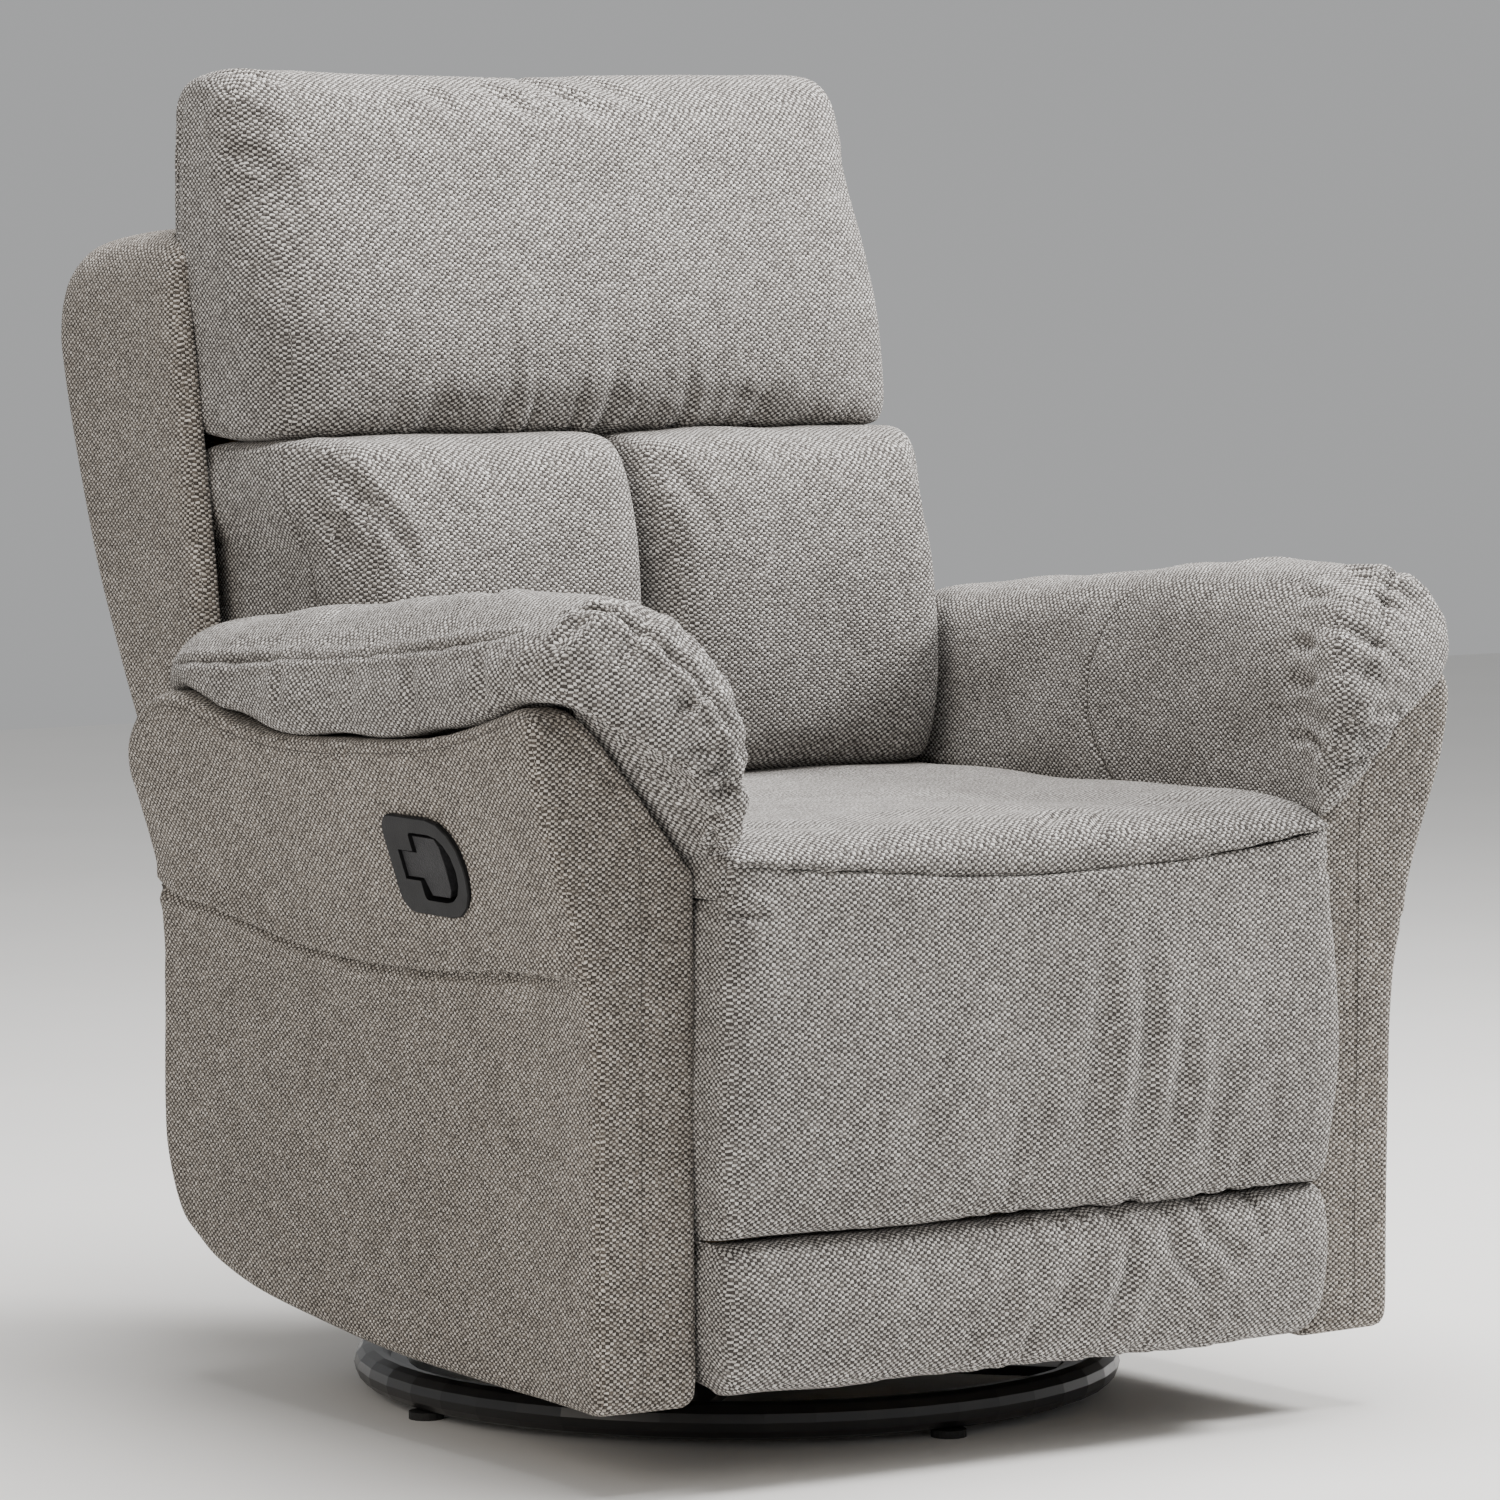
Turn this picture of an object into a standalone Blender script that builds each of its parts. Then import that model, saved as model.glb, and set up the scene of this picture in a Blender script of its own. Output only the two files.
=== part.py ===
"""Glider nursery chair: swivel base, four-link glide frame, reclining back, swing-out leg rest and release paddle."""
import math

import bpy
import bmesh
from mathutils import Matrix, Vector

# ---------------------------------------------------------------- driving sizes, in metres
overallWidth = 0.866         # across the flared tops of the two arm panels
overallDepth = 0.975         # front of the arm pillows to the back shell
overallHeight = 1.058        # floor to the top of the head pillow
armThick = 0.0805            # thickness of an arm panel below the flare
flareOut = 0.066             # how far the top of a panel leans out past its foot
sideRoom = 0.0030            # room between the seat and each arm
gap = 0.0003                 # space between pieces that touch in the real chair

frontY = -overallDepth / 2
rearY = overallDepth / 2
flareTopX = overallWidth / 2
flareBaseX = flareTopX - flareOut
armInner = flareBaseX - armThick     # inner face of each arm panel from the middle plane
seatHalf = armInner - sideRoom       # half the seat's width, between the arms
swivelY = -0.0575            # the ring is centred under the seat, not under the back
ringRadius = 0.294           # centre line of the ring's tube
tubeRadius = 0.015
glideHigh = 0.006            # plastic glides under the ring
plateRadius = 0.110

linkSpan = 0.140             # pivot to pivot of a swing link
linkPitch = 0.100            # half the distance from the front links to the rear ones
linkTopZ = 0.235
pinRadius = 0.0050
holeRadius = 0.0055

plateThick = 0.0040
plateRoom = 0.0040           # between a swing link and the plates on both sides of it
leafRoom = 0.0004            # between the leaves of the leg rest's folding links
sideRail = 0.0200            # wooden side rail of the seat
sidePlateX = seatHalf - 0.0015 - sideRail - gap - plateThick / 2     # middle planes of the steel plates
elbowOutX = sidePlateX - plateThick - leafRoom
elbowInX = elbowOutX - plateThick - leafRoom + 0.0001
lugX = elbowInX - plateThick - leafRoom - 0.0002
hangerX = sidePlateX - 0.0332
linkX = hangerX - plateThick - plateRoom
bracketX = linkX - plateThick - plateRoom

armBottomZ = 0.061
armFrontY = -0.4325
railLowZ = 0.355
railHighZ = 0.398
seatTopZ = 0.478
seatNoseY = -0.462

legHingeY = -0.462           # fold line where the cover joins the seat's nose to the leg rest
legHingeZ = 0.438
legPinY = -0.395             # where the folding links are riveted to the leg rest
legPinZ = 0.276
legRootY = -0.292            # where they are riveted to the side plates
legRootZ = 0.338

backHingeY = 0.200
backHingeZ = 0.370
backLean = 0.33              # metres back for each metre up
shellHalf = armInner + 0.0385
pillowHalf = shellHalf - 0.0250
shellTopZ = 0.929

paddleY = -0.240             # middle of the release bezel
paddleZ = 0.4575
bezelLong = 0.105
bezelTall = 0.080

materials = {
    "ring_paint": ((0.010, 0.010, 0.011), 0.25, 0.0),
    "frame_steel": ((0.20, 0.20, 0.21), 0.42, 0.9),
    "link_steel": ((0.45, 0.45, 0.46), 0.35, 1.0),
    "frame_wood": ((0.55, 0.40, 0.24), 0.65, 0.0),
    "glide_plastic": ((0.03, 0.03, 0.03), 0.55, 0.0),
    "handle_plastic": ((0.018, 0.018, 0.019), 0.38, 0.0),
    "cover_fabric": ((0.30, 0.275, 0.25), 0.95, 0.0),
}

for old in list(bpy.data.objects):
    bpy.data.objects.remove(old, do_unlink=True)

partsCollection = bpy.data.collections.new("glider_chair")
cutterCollection = bpy.data.collections.new("cutters")
bpy.context.scene.collection.children.link(partsCollection)
bpy.context.scene.collection.children.link(cutterCollection)


def makeMaterials():
    made = {}
    for name, (colour, roughness, metallic) in materials.items():
        material = bpy.data.materials.new(name)
        material.use_nodes = True
        shader = material.node_tree.nodes["Principled BSDF"]
        shader.inputs["Base Color"].default_value = (*colour, 1.0)
        shader.inputs["Roughness"].default_value = roughness
        shader.inputs["Metallic"].default_value = metallic
        material.diffuse_color = (*colour, 1.0)
        made[name] = material
    return made


baseMaterials = makeMaterials()


# ---------------------------------------------------------------- helpers

def addMesh(name, mesh, material=None, origin=(0, 0, 0), smooth=False):
    """Own object in the parts collection, with its origin at a chosen point of the chair."""
    mesh.transform(Matrix.Translation(-Vector(origin)))
    body = bpy.data.objects.new(name, mesh)
    body.location = origin
    if material:
        own = baseMaterials[material].copy()
        own.name = material + "." + name
        mesh.materials.append(own)
    for polygon in mesh.polygons:
        polygon.use_smooth = smooth
    partsCollection.objects.link(body)
    return body


def meshOf(build, name):
    grown = bmesh.new()
    build(grown)
    bmesh.ops.recalc_face_normals(grown, faces=grown.faces)
    mesh = bpy.data.meshes.new(name)
    grown.to_mesh(mesh)
    grown.free()
    return mesh


def prismMesh(name, outline, plane, low, high):
    """Flat outline given in one plane, drawn out between two values of the third axis."""
    def place(a, b, c):
        return {"yz": (c, a, b), "xz": (a, c, b), "xy": (a, b, c)}[plane]

    def build(grown):
        first = [grown.verts.new(place(a, b, low)) for a, b in outline]
        second = [grown.verts.new(place(a, b, high)) for a, b in outline]
        grown.faces.new(first)
        grown.faces.new(list(reversed(second)))
        count = len(outline)
        for index in range(count):
            nextIndex = (index + 1) % count
            grown.faces.new((first[index], second[index], second[nextIndex], first[nextIndex]))
    return meshOf(build, name)


def boxMesh(name, low, high):
    return prismMesh(name, [(low[0], low[1]), (high[0], low[1]), (high[0], high[1]), (low[0], high[1])],
                     "xy", low[2], high[2])


def loftMesh(name, rings):
    """Closed skin through equal rings of points, with a flat cap on each end."""
    def build(grown):
        rows = [[grown.verts.new(point) for point in ring] for ring in rings]
        count = len(rows[0])
        for lower, upper in zip(rows, rows[1:]):
            for index in range(count):
                nextIndex = (index + 1) % count
                grown.faces.new((lower[index], lower[nextIndex], upper[nextIndex], upper[index]))
        grown.faces.new(list(reversed(rows[0])))
        grown.faces.new(rows[-1])
    return meshOf(build, name)


def roundMesh(name, centre, radius, low, high, axis="x", sides=20):
    """Plain round bar along one axis."""
    planes = {"x": "yz", "y": "xz", "z": "xy"}
    outline = [(centre[0] + radius * math.cos(2 * math.pi * step / sides),
                centre[1] + radius * math.sin(2 * math.pi * step / sides)) for step in range(sides)]
    return prismMesh(name, outline, planes[axis], low, high)


def barOutline(start, end, halfWidth, steps=7):
    """Flat bar with half-round ends between two pivots."""
    start, end = Vector(start), Vector(end)
    along = (end - start).normalized()
    heading = math.atan2(along.y, along.x)
    points = []
    for centre, turn in ((end, heading - math.pi / 2), (start, heading + math.pi / 2)):
        for step in range(steps + 1):
            angle = turn + math.pi * step / steps
            points.append((centre.x + halfWidth * math.cos(angle), centre.y + halfWidth * math.sin(angle)))
    return points


def applyModifiers(body):
    graph = bpy.context.evaluated_depsgraph_get()
    made = bpy.data.meshes.new_from_object(body.evaluated_get(graph))
    old = body.data
    body.modifiers.clear()
    body.data = made
    bpy.data.meshes.remove(old)
    return body


def combine(body, mesh, operation):
    """Boolean with a helper solid given in chair coordinates."""
    cutter = bpy.data.objects.new(body.name + "_cutter", mesh)
    cutter.hide_render = True
    cutter.display_type = "WIRE"
    cutterCollection.objects.link(cutter)
    modifier = body.modifiers.new(operation, "BOOLEAN")
    modifier.operation = operation
    modifier.solver = "EXACT"
    modifier.object = cutter
    bpy.context.view_layer.update()
    applyModifiers(body)
    bpy.data.objects.remove(cutter, do_unlink=True)
    return body


def soften(body, width, segments=2, angle=35):
    modifier = body.modifiers.new("edges", "BEVEL")
    modifier.width = width
    modifier.segments = segments
    modifier.limit_method = "ANGLE"
    modifier.angle_limit = math.radians(angle)
    modifier.use_clamp_overlap = True
    bpy.context.view_layer.update()
    return applyModifiers(body)


def interpolate(points, value):
    """Height of a broken line at one place."""
    for (a, b), (c, d) in zip(points, points[1:]):
        if a <= value <= c:
            return b + (d - b) * (value - a) / (c - a)
    return points[0][1] if value < points[0][0] else points[-1][1]


sides = (("left", 1), ("right", -1))          # the sitter's left and right

# ---------------------------------------------------------------- base: ring, cross, lower plate, ball race, bolt
ringCentreZ = glideHigh + gap + tubeRadius


def ringMesh():
    """Rolled tube with a flat inner lip, as one turned section."""
    section = []
    for step in range(13):
        angle = math.radians(-165 + 330 * step / 12)
        section.append((ringRadius + tubeRadius * math.cos(angle), ringCentreZ + tubeRadius * math.sin(angle)))
    lipTop = ringCentreZ + tubeRadius * math.sin(math.radians(165))
    lipLow = ringCentreZ - tubeRadius * math.sin(math.radians(165))
    section.append((ringRadius - tubeRadius - 0.012, lipTop))
    section.append((ringRadius - tubeRadius - 0.012, lipLow))
    count = 48

    def build(grown):
        rows = []
        for turn in range(count):
            angle = 2 * math.pi * turn / count
            rows.append([grown.verts.new((r * math.cos(angle), swivelY + r * math.sin(angle), z)) for r, z in section])
        for turn in range(count):
            here, there = rows[turn], rows[(turn + 1) % count]
            for index in range(len(section)):
                nextIndex = (index + 1) % len(section)
                grown.faces.new((here[index], there[index], there[nextIndex], here[nextIndex]))
    return meshOf(build, "base_ring")


addMesh("base_ring", ringMesh(), "ring_paint", smooth=True)

for name, dx, dy in (("front", 0, -1), ("rear", 0, 1), ("left", 1, 0), ("right", -1, 0)):
    addMesh("floor_glide_" + name,
            roundMesh("floor_glide", (dx * ringRadius, swivelY + dy * ringRadius), 0.014, 0.0, glideHigh, "z", 16),
            "glide_plastic")

crossReach = (ringRadius - tubeRadius - 0.012) * math.cos(math.pi / 48) - 0.0006
crossHalf = 0.024
crossLow, crossHigh = ringCentreZ - 0.004, ringCentreZ + 0.004
crossOutline = []
for quarter in range(4):
    turn = math.pi / 4 + quarter * math.pi / 2
    for a, b in ((crossReach - 0.0012, -crossHalf), (crossReach - 0.0012, crossHalf), (crossHalf, crossHalf)):
        crossOutline.append((a * math.cos(turn) - b * math.sin(turn), swivelY + a * math.sin(turn) + b * math.cos(turn)))
cross = addMesh("base_cross", prismMesh("base_cross", crossOutline, "xy", crossLow, crossHigh), "ring_paint")
combine(cross, roundMesh("bore", (0, swivelY), 0.0085, 0.0, 0.1, "z"), "DIFFERENCE")

lowerPlateLow = crossHigh + gap
lowerPlateHigh = lowerPlateLow + 0.004
lowerPlate = addMesh("swivel_plate_lower",
                     roundMesh("swivel_plate_lower", (0, swivelY), plateRadius, lowerPlateLow, lowerPlateHigh, "z", 32),
                     "frame_steel")
combine(lowerPlate, roundMesh("bore", (0, swivelY), 0.0085, 0.0, 0.1, "z"), "DIFFERENCE")

raceLow = lowerPlateHigh + gap
raceHigh = raceLow + 0.008
race = addMesh("ball_race", roundMesh("ball_race", (0, swivelY), 0.098, raceLow, raceHigh, "z", 32), "link_steel")
combine(race, roundMesh("bore", (0, swivelY), 0.080, 0.0, 0.1, "z", 32), "DIFFERENCE")

upperPlateLow = raceHigh + gap
upperPlateHigh = upperPlateLow + 0.004
boltTop = upperPlateHigh + 0.010
bolt = addMesh("swivel_bolt", roundMesh("swivel_bolt", (0, swivelY), 0.0080, crossLow - 0.001, boltTop, "z", 24), "link_steel")
combine(bolt, roundMesh("head", (0, swivelY), 0.0150, crossLow - 0.0070, crossLow - gap, "z", 6), "UNION")
combine(bolt, roundMesh("nut", (0, swivelY), 0.0150, upperPlateHigh + gap, boltTop - 0.001, "z", 6), "UNION")

# ---------------------------------------------------------------- turntable: upper plate, cross rails, glide brackets
upperPlate = addMesh("swivel_plate_upper",
                     roundMesh("swivel_plate_upper", (0, swivelY), plateRadius, upperPlateLow, upperPlateHigh, "z", 32),
                     "frame_steel", (0, swivelY, upperPlateLow))
combine(upperPlate, roundMesh("bore", (0, swivelY), 0.0085, 0.0, 0.1, "z"), "DIFFERENCE")

railEnd = bracketX - plateThick / 2 - gap
for name, offset in (("front", -0.085), ("rear", 0.085)):
    low = (-railEnd, swivelY + offset - 0.015, upperPlateHigh + gap)
    high = (railEnd, swivelY + offset + 0.015, upperPlateHigh + gap + 0.020)
    addMesh("glide_rail_" + name, boxMesh("glide_rail", low, high), "frame_steel")

bracketLowZ = upperPlateHigh + gap
for name, way in sides:
    outline = [(swivelY - 0.112, bracketLowZ), (swivelY + 0.112, bracketLowZ),
               (swivelY + linkPitch + 0.018, linkTopZ), (swivelY + linkPitch + 0.010, linkTopZ + 0.016),
               (swivelY - linkPitch - 0.010, linkTopZ + 0.016),
               (swivelY - linkPitch - 0.018, linkTopZ)]
    x0, x1 = sorted((way * (bracketX - plateThick / 2), way * (bracketX + plateThick / 2)))
    bracket = addMesh("glide_bracket_" + name, prismMesh("glide_bracket", outline, "yz", x0, x1), "frame_steel")
    for offset in (-linkPitch, linkPitch):
        combine(bracket, roundMesh("bore", (swivelY + offset, linkTopZ), holeRadius, x0 - 0.01, x1 + 0.01), "DIFFERENCE")

# ---------------------------------------------------------------- four swing links, riveted at both ends


def linkSolid(name, start, end, midX, way, stubs, halfWidth, material, origin):
    """Flat bar with rivets standing out of it: each stub is (pivot, reach along X from the bar's middle)."""
    x0, x1 = sorted((way * (midX - plateThick / 2), way * (midX + plateThick / 2)))
    link = addMesh(name, prismMesh(name, barOutline(start, end, halfWidth), "yz", x0, x1), material)
    for pivot, reach in stubs:
        a, b = sorted((way * midX, way * (midX + reach)))
        combine(link, roundMesh("rivet", pivot, pinRadius, a, b, "x", 16), "UNION")
    mesh = link.data
    mesh.transform(Matrix.Translation(-Vector(origin)))
    link.location = origin
    return link


for side, way in sides:
    for end, offset in (("front", -linkPitch), ("rear", linkPitch)):
        top = (swivelY + offset, linkTopZ)
        low = (swivelY + offset, linkTopZ - linkSpan)
        linkSolid("swing_link_%s_%s" % (end, side), top, low, linkX, way,
                  ((top, bracketX - linkX - 0.006), (low, hangerX - linkX + 0.006)), 0.012, "link_steel",
                  (way * linkX, top[0], top[1]))

# ---------------------------------------------------------------- carriage: hangers, side plates, seat frame, springs
for side, way in sides:
    x0, x1 = sorted((way * (hangerX - plateThick / 2), way * (hangerX + plateThick / 2)))
    low = linkTopZ - linkSpan
    outline = [(swivelY - linkPitch - 0.018, low - 0.016), (swivelY + linkPitch + 0.018, low - 0.016),
               (swivelY + linkPitch + 0.025, 0.352), (swivelY - linkPitch - 0.025, 0.352)]
    hanger = addMesh("hanger_plate_" + side, prismMesh("hanger_plate", outline, "yz", x0, x1), "frame_steel")
    a, b = sorted((way * hangerX, way * (sidePlateX - plateThick / 2 - gap)))
    combine(hanger, boxMesh("flange", (a, swivelY - linkPitch - 0.025, 0.348), (b, swivelY + linkPitch + 0.025, 0.352)), "UNION")
    for offset in (-linkPitch, linkPitch):
        combine(hanger, roundMesh("bore", (swivelY + offset, low), holeRadius, x0 - 0.01, x1 + 0.01), "DIFFERENCE")

    x0, x1 = sorted((way * (sidePlateX - plateThick / 2), way * (sidePlateX + plateThick / 2)))
    outline = [(legRootY - 0.018, legRootZ - 0.016), (legRootY + 0.030, legRootZ - 0.020), (backHingeY - 0.05, 0.330),
               (backHingeY + 0.018, backHingeZ - 0.020), (backHingeY + 0.022, backHingeZ + 0.010),
               (backHingeY + 0.010, backHingeZ + 0.024), (legRootY + 0.050, backHingeZ + 0.024), (legRootY - 0.018, legRootZ + 0.018)]
    plate = addMesh("side_plate_" + side, prismMesh("side_plate", outline, "yz", x0, x1), "frame_steel")
    combine(plate, roundMesh("bore", (legRootY, legRootZ), holeRadius, x0 - 0.01, x1 + 0.01), "DIFFERENCE")
    combine(plate, roundMesh("bore", (backHingeY, backHingeZ), holeRadius + 0.001, x0 - 0.01, x1 + 0.01), "DIFFERENCE")

    a, b = sorted((way * (sidePlateX + plateThick / 2 + gap), way * (seatHalf - 0.0015)))
    addMesh("seat_rail_" + side, boxMesh("seat_rail", (a, -0.408, railLowZ), (b, 0.165, railHighZ)), "frame_wood")

frontRailEnd = sidePlateX + plateThick / 2
addMesh("seat_rail_front", boxMesh("seat_rail_front", (-frontRailEnd, -0.408, railLowZ), (frontRailEnd, -0.388, railHighZ)), "frame_wood")
rearRailEnd = sidePlateX - plateThick / 2 - gap
addMesh("seat_rail_rear", boxMesh("seat_rail_rear", (-rearRailEnd, 0.145, railLowZ), (rearRailEnd, 0.165, railHighZ)), "frame_wood")


def springBody(name, middleX):
    """Zigzag seat wire between the front and rear rails."""
    wireRadius = 0.0020
    startY, endY = -0.388 + gap + wireRadius, 0.145 - gap - wireRadius
    turns = 11
    points = []
    for step in range(turns + 1):
        y = startY + (endY - startY) * step / turns
        swing = 0.024 * (1 if step % 2 else -1)
        points.append((middleX + swing, y, 0.3900))
        if step < turns:
            points.append((middleX + swing, y + 0.35 * (endY - startY) / turns, 0.3900))
    curve = bpy.data.curves.new(name, "CURVE")
    curve.dimensions = "3D"
    curve.bevel_depth = wireRadius
    curve.bevel_resolution = 0
    curve.use_fill_caps = True
    spline = curve.splines.new("POLY")
    spline.points.add(len(points) - 1)
    for point, place in zip(spline.points, points):
        point.co = (*place, 1.0)
    holder = bpy.data.objects.new(name + "_curve", curve)
    cutterCollection.objects.link(holder)
    bpy.context.view_layer.update()
    mesh = bpy.data.meshes.new_from_object(holder.evaluated_get(bpy.context.evaluated_depsgraph_get()))
    bpy.data.objects.remove(holder, do_unlink=True)
    grown = bmesh.new()
    grown.from_mesh(mesh)
    bmesh.ops.remove_doubles(grown, verts=grown.verts, dist=0.00005)
    bmesh.ops.recalc_face_normals(grown, faces=grown.faces)
    grown.to_mesh(mesh)
    grown.free()
    return addMesh(name, mesh, "link_steel", smooth=True)


for name, middleX in (("right", -0.150), ("middle", 0.0), ("left", 0.150)):
    springBody("seat_spring_" + name, middleX)

# ---------------------------------------------------------------- arms: flared panels and their pillows
armTop = [(armFrontY, 0.566), (-0.424, 0.582), (-0.405, 0.588), (-0.3835, 0.577 + 0.006), (-0.2905, 0.556), (-0.1545, 0.543),
          (-0.0665, 0.545), (0.0415, 0.561), (0.1015, 0.569), (0.135, 0.563), (0.1685, 0.547)]
armRear = [(0.1960, 0.524), (0.2090, 0.500), (0.2075, 0.473), (0.2145, 0.407), (0.2325, 0.310), (0.2325, 0.220), (0.2275, 0.179)]
armLow = [(0.2085, 0.135), (0.1780, 0.115), (0.1425, 0.101), (0.0625, 0.084), (-0.0775, 0.069), (-0.2575, armBottomZ), (armFrontY, armBottomZ)]
slantLow = (armInner, 0.460)                 # where the arm's inner face starts to lean out under the pillow
slantHigh = (flareTopX - 0.044, 0.585)
flare = [(flareTopX - 0.020, 0.592), (flareTopX - 0.004, 0.580), (flareTopX, 0.566), (flareTopX - 0.005, 0.545),
         (flareTopX - 0.0195, 0.503), (flareTopX - 0.0501, 0.410), (flareTopX - 0.0560, 0.380), (flareBaseX + 0.003, 0.342), (flareBaseX, 0.310)]


def slantX(z):
    return slantLow[0] + (slantHigh[0] - slantLow[0]) * (z - slantLow[1]) / (slantHigh[1] - slantLow[1])


flareTilt = math.atan2(0.023, 0.070)         # lean of the outer face where the bezel sits
bezelSurfaceX = flareTopX - 0.0195 + 0.023 * (paddleZ - 0.503) / 0.070


def dOutline(longSize, tallSize, corner, front):
    """D shape: squared corners at the rear, full round at the front. First axis runs forward, second runs up."""
    points = []
    halfA, halfB = longSize / 2, tallSize / 2
    for centre, start, radius in (((-halfA + corner, halfB - corner), 90, corner), ((-halfA + corner, -halfB + corner), 180, corner),
                                  ((halfA - front, -halfB + front), 270, front), ((halfA - front, halfB - front), 0, front)):
        for step in range(5):
            angle = math.radians(start + 90 * step / 4)
            points.append((centre[0] + radius * math.cos(angle), centre[1] + radius * math.sin(angle)))
    return points


def onBezel(mesh):
    """Takes a mesh drawn as (forward, up the face, out of the face) onto the right arm's sloping outer face."""
    forward = Vector((0, -1, 0))
    upward = Vector((-math.sin(flareTilt), 0, math.cos(flareTilt)))
    outward = forward.cross(upward)
    frame = Matrix((forward, upward, outward)).transposed().to_4x4()
    frame.translation = Vector((-bezelSurfaceX, paddleY, paddleZ))
    mesh.transform(frame)
    mesh.update()
    return mesh


def bezelPoint(a, b, c):
    upward = Vector((-math.sin(flareTilt), 0, math.cos(flareTilt)))
    outward = Vector((0, -1, 0)).cross(upward)
    return Vector((-bezelSurfaceX, paddleY, paddleZ)) + Vector((0, -1, 0)) * a + upward * b + outward * c


pocketDepth = 0.026
for side, way in sides:
    profile = armTop + armRear + armLow
    a, b = sorted((way * (armInner - 0.08), way * (flareTopX + 0.06)))
    panel = addMesh("arm_panel_" + side, prismMesh("arm_panel", profile, "yz", a, b), "cover_fabric")
    section = [(armInner, 0.0), slantLow, slantHigh] + flare + [(flareBaseX, 0.0)]
    combine(panel, prismMesh("section", [(way * x, z) for x, z in section], "xz", -0.6, 0.4), "INTERSECT")
    if side == "right":
        pocket = onBezel(prismMesh("pocket", dOutline(bezelLong - 0.010, bezelTall - 0.010, 0.012, 0.032), "xy", -pocketDepth - 0.0005, 0.03))
        combine(panel, pocket, "DIFFERENCE")
        rim = onBezel(prismMesh("pocket_rim", dOutline(bezelLong - 0.0074, bezelTall - 0.0074, 0.0133, 0.0333), "xy", -0.0013, 0.03))
        combine(panel, rim, "DIFFERENCE")

    # the pillow lies on the slant and the top edge of the panel, and hangs over its front
    rings = []
    lift = 0.0012
    crown = [(frontY, 0.560), (-0.470, 0.622), (-0.436, 0.652), (-0.328, 0.668), (-0.243, 0.659), (-0.128, 0.645), (0.007, 0.633), (0.132, 0.614), (0.172, 0.590)]
    for y in (-0.4325, -0.4240, -0.4050, -0.3835, -0.2905, -0.1545, -0.0665, 0.0415, 0.1015, 0.135, 0.160):
        top = interpolate(armTop, y) + lift
        high = interpolate(crown, y)
        innerX = armInner + 0.0004
        slant = lift + 0.0008
        lowZ = 0.470
        rest = max(min(slantX(top), slantHigh[0] - 0.002), armInner + 0.0535)
        points = [(innerX + 0.002, lowZ), (innerX, lowZ + 0.05), (innerX + 0.004, high - 0.045), (innerX + 0.030, high - 0.012),
                  (innerX + 0.075, high), (innerX + 0.115, high - 0.014), (flareTopX - 0.006, max(high - 0.042, top + 0.02)),
                  (flareTopX - 0.008, top + 0.002), (rest, top),
                  (slantX(0.50) - slant * 1.3, 0.50)]
        rings.append([(way * px, y, pz) for px, pz in points])
    nose = []
    for y, shrink in ((frontY, 0.60), (frontY + 0.010, 0.82), (frontY + 0.028, 0.95)):
        nose.append([(way * (armInner + 0.0635) + (px - way * (armInner + 0.0635)) * shrink, y, 0.566 + (pz - 0.566) * shrink) for px, pastY, pz in rings[0]])
    rings = nose + rings
    last = [(px + (way * (armInner + 0.0735) - px) * 0.35, 0.172, pz + (0.565 - pz) * 0.35 if pz < 0.565 else pz - 0.012) for px, y, pz in rings[-1]]
    last = [(px, y, max(pz, interpolate(armTop, 0.160) + lift) if abs(px) > slantX(0.545) else pz) for px, y, pz in last]
    addMesh("arm_pillow_" + side, loftMesh("arm_pillow", rings + [last]), "cover_fabric", smooth=True)

# ---------------------------------------------------------------- seat cushion and rear panel
seatOutline = [(seatNoseY, legHingeZ + 0.0025), (seatNoseY, seatTopZ - 0.018), (seatNoseY + 0.006, seatTopZ - 0.006), (seatNoseY + 0.020, seatTopZ),
               (0.130, seatTopZ), (0.150, seatTopZ - 0.010), (0.150, railHighZ + 0.003), (-0.4080, railHighZ + 0.003), (-0.4095, legHingeZ + 0.0025)]
addMesh("seat_cushion", prismMesh("seat_cushion", seatOutline, "yz", -seatHalf, seatHalf), "cover_fabric")
addMesh("rear_panel", boxMesh("rear_panel", (-seatHalf, 0.2230, 0.125), (seatHalf, 0.2325, 0.360)), "cover_fabric")

# ---------------------------------------------------------------- leg rest: board, two pads, lugs and folding links
legOrigin = (0, legHingeY, legHingeZ)
board = (-0.428, -0.413)
addMesh("leg_rest_board", boxMesh("leg_rest_board", (-seatHalf + 0.0115, board[0], 0.090), (seatHalf - 0.0115, board[1], 0.424)), "frame_wood", legOrigin)


def padSolid(name, lowZ, highZ):
    """Pad with a rounded front, on the board."""
    back = board[0] - gap
    face = frontY + 0.0125
    outline = [(back, lowZ), (face + 0.016, lowZ), (face + 0.004, lowZ + 0.010), (face, lowZ + 0.030),
               (face, highZ - 0.030), (face + 0.004, highZ - 0.010), (face + 0.012, highZ), (back, highZ)]
    return soften(addMesh(name, prismMesh(name, outline, "yz", -seatHalf, seatHalf), "cover_fabric", legOrigin), 0.010, 1, 60)


padSolid("leg_rest_pad_upper", 0.188, 0.4360)
padSolid("leg_rest_pad_lower", 0.0685, 0.185)

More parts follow.
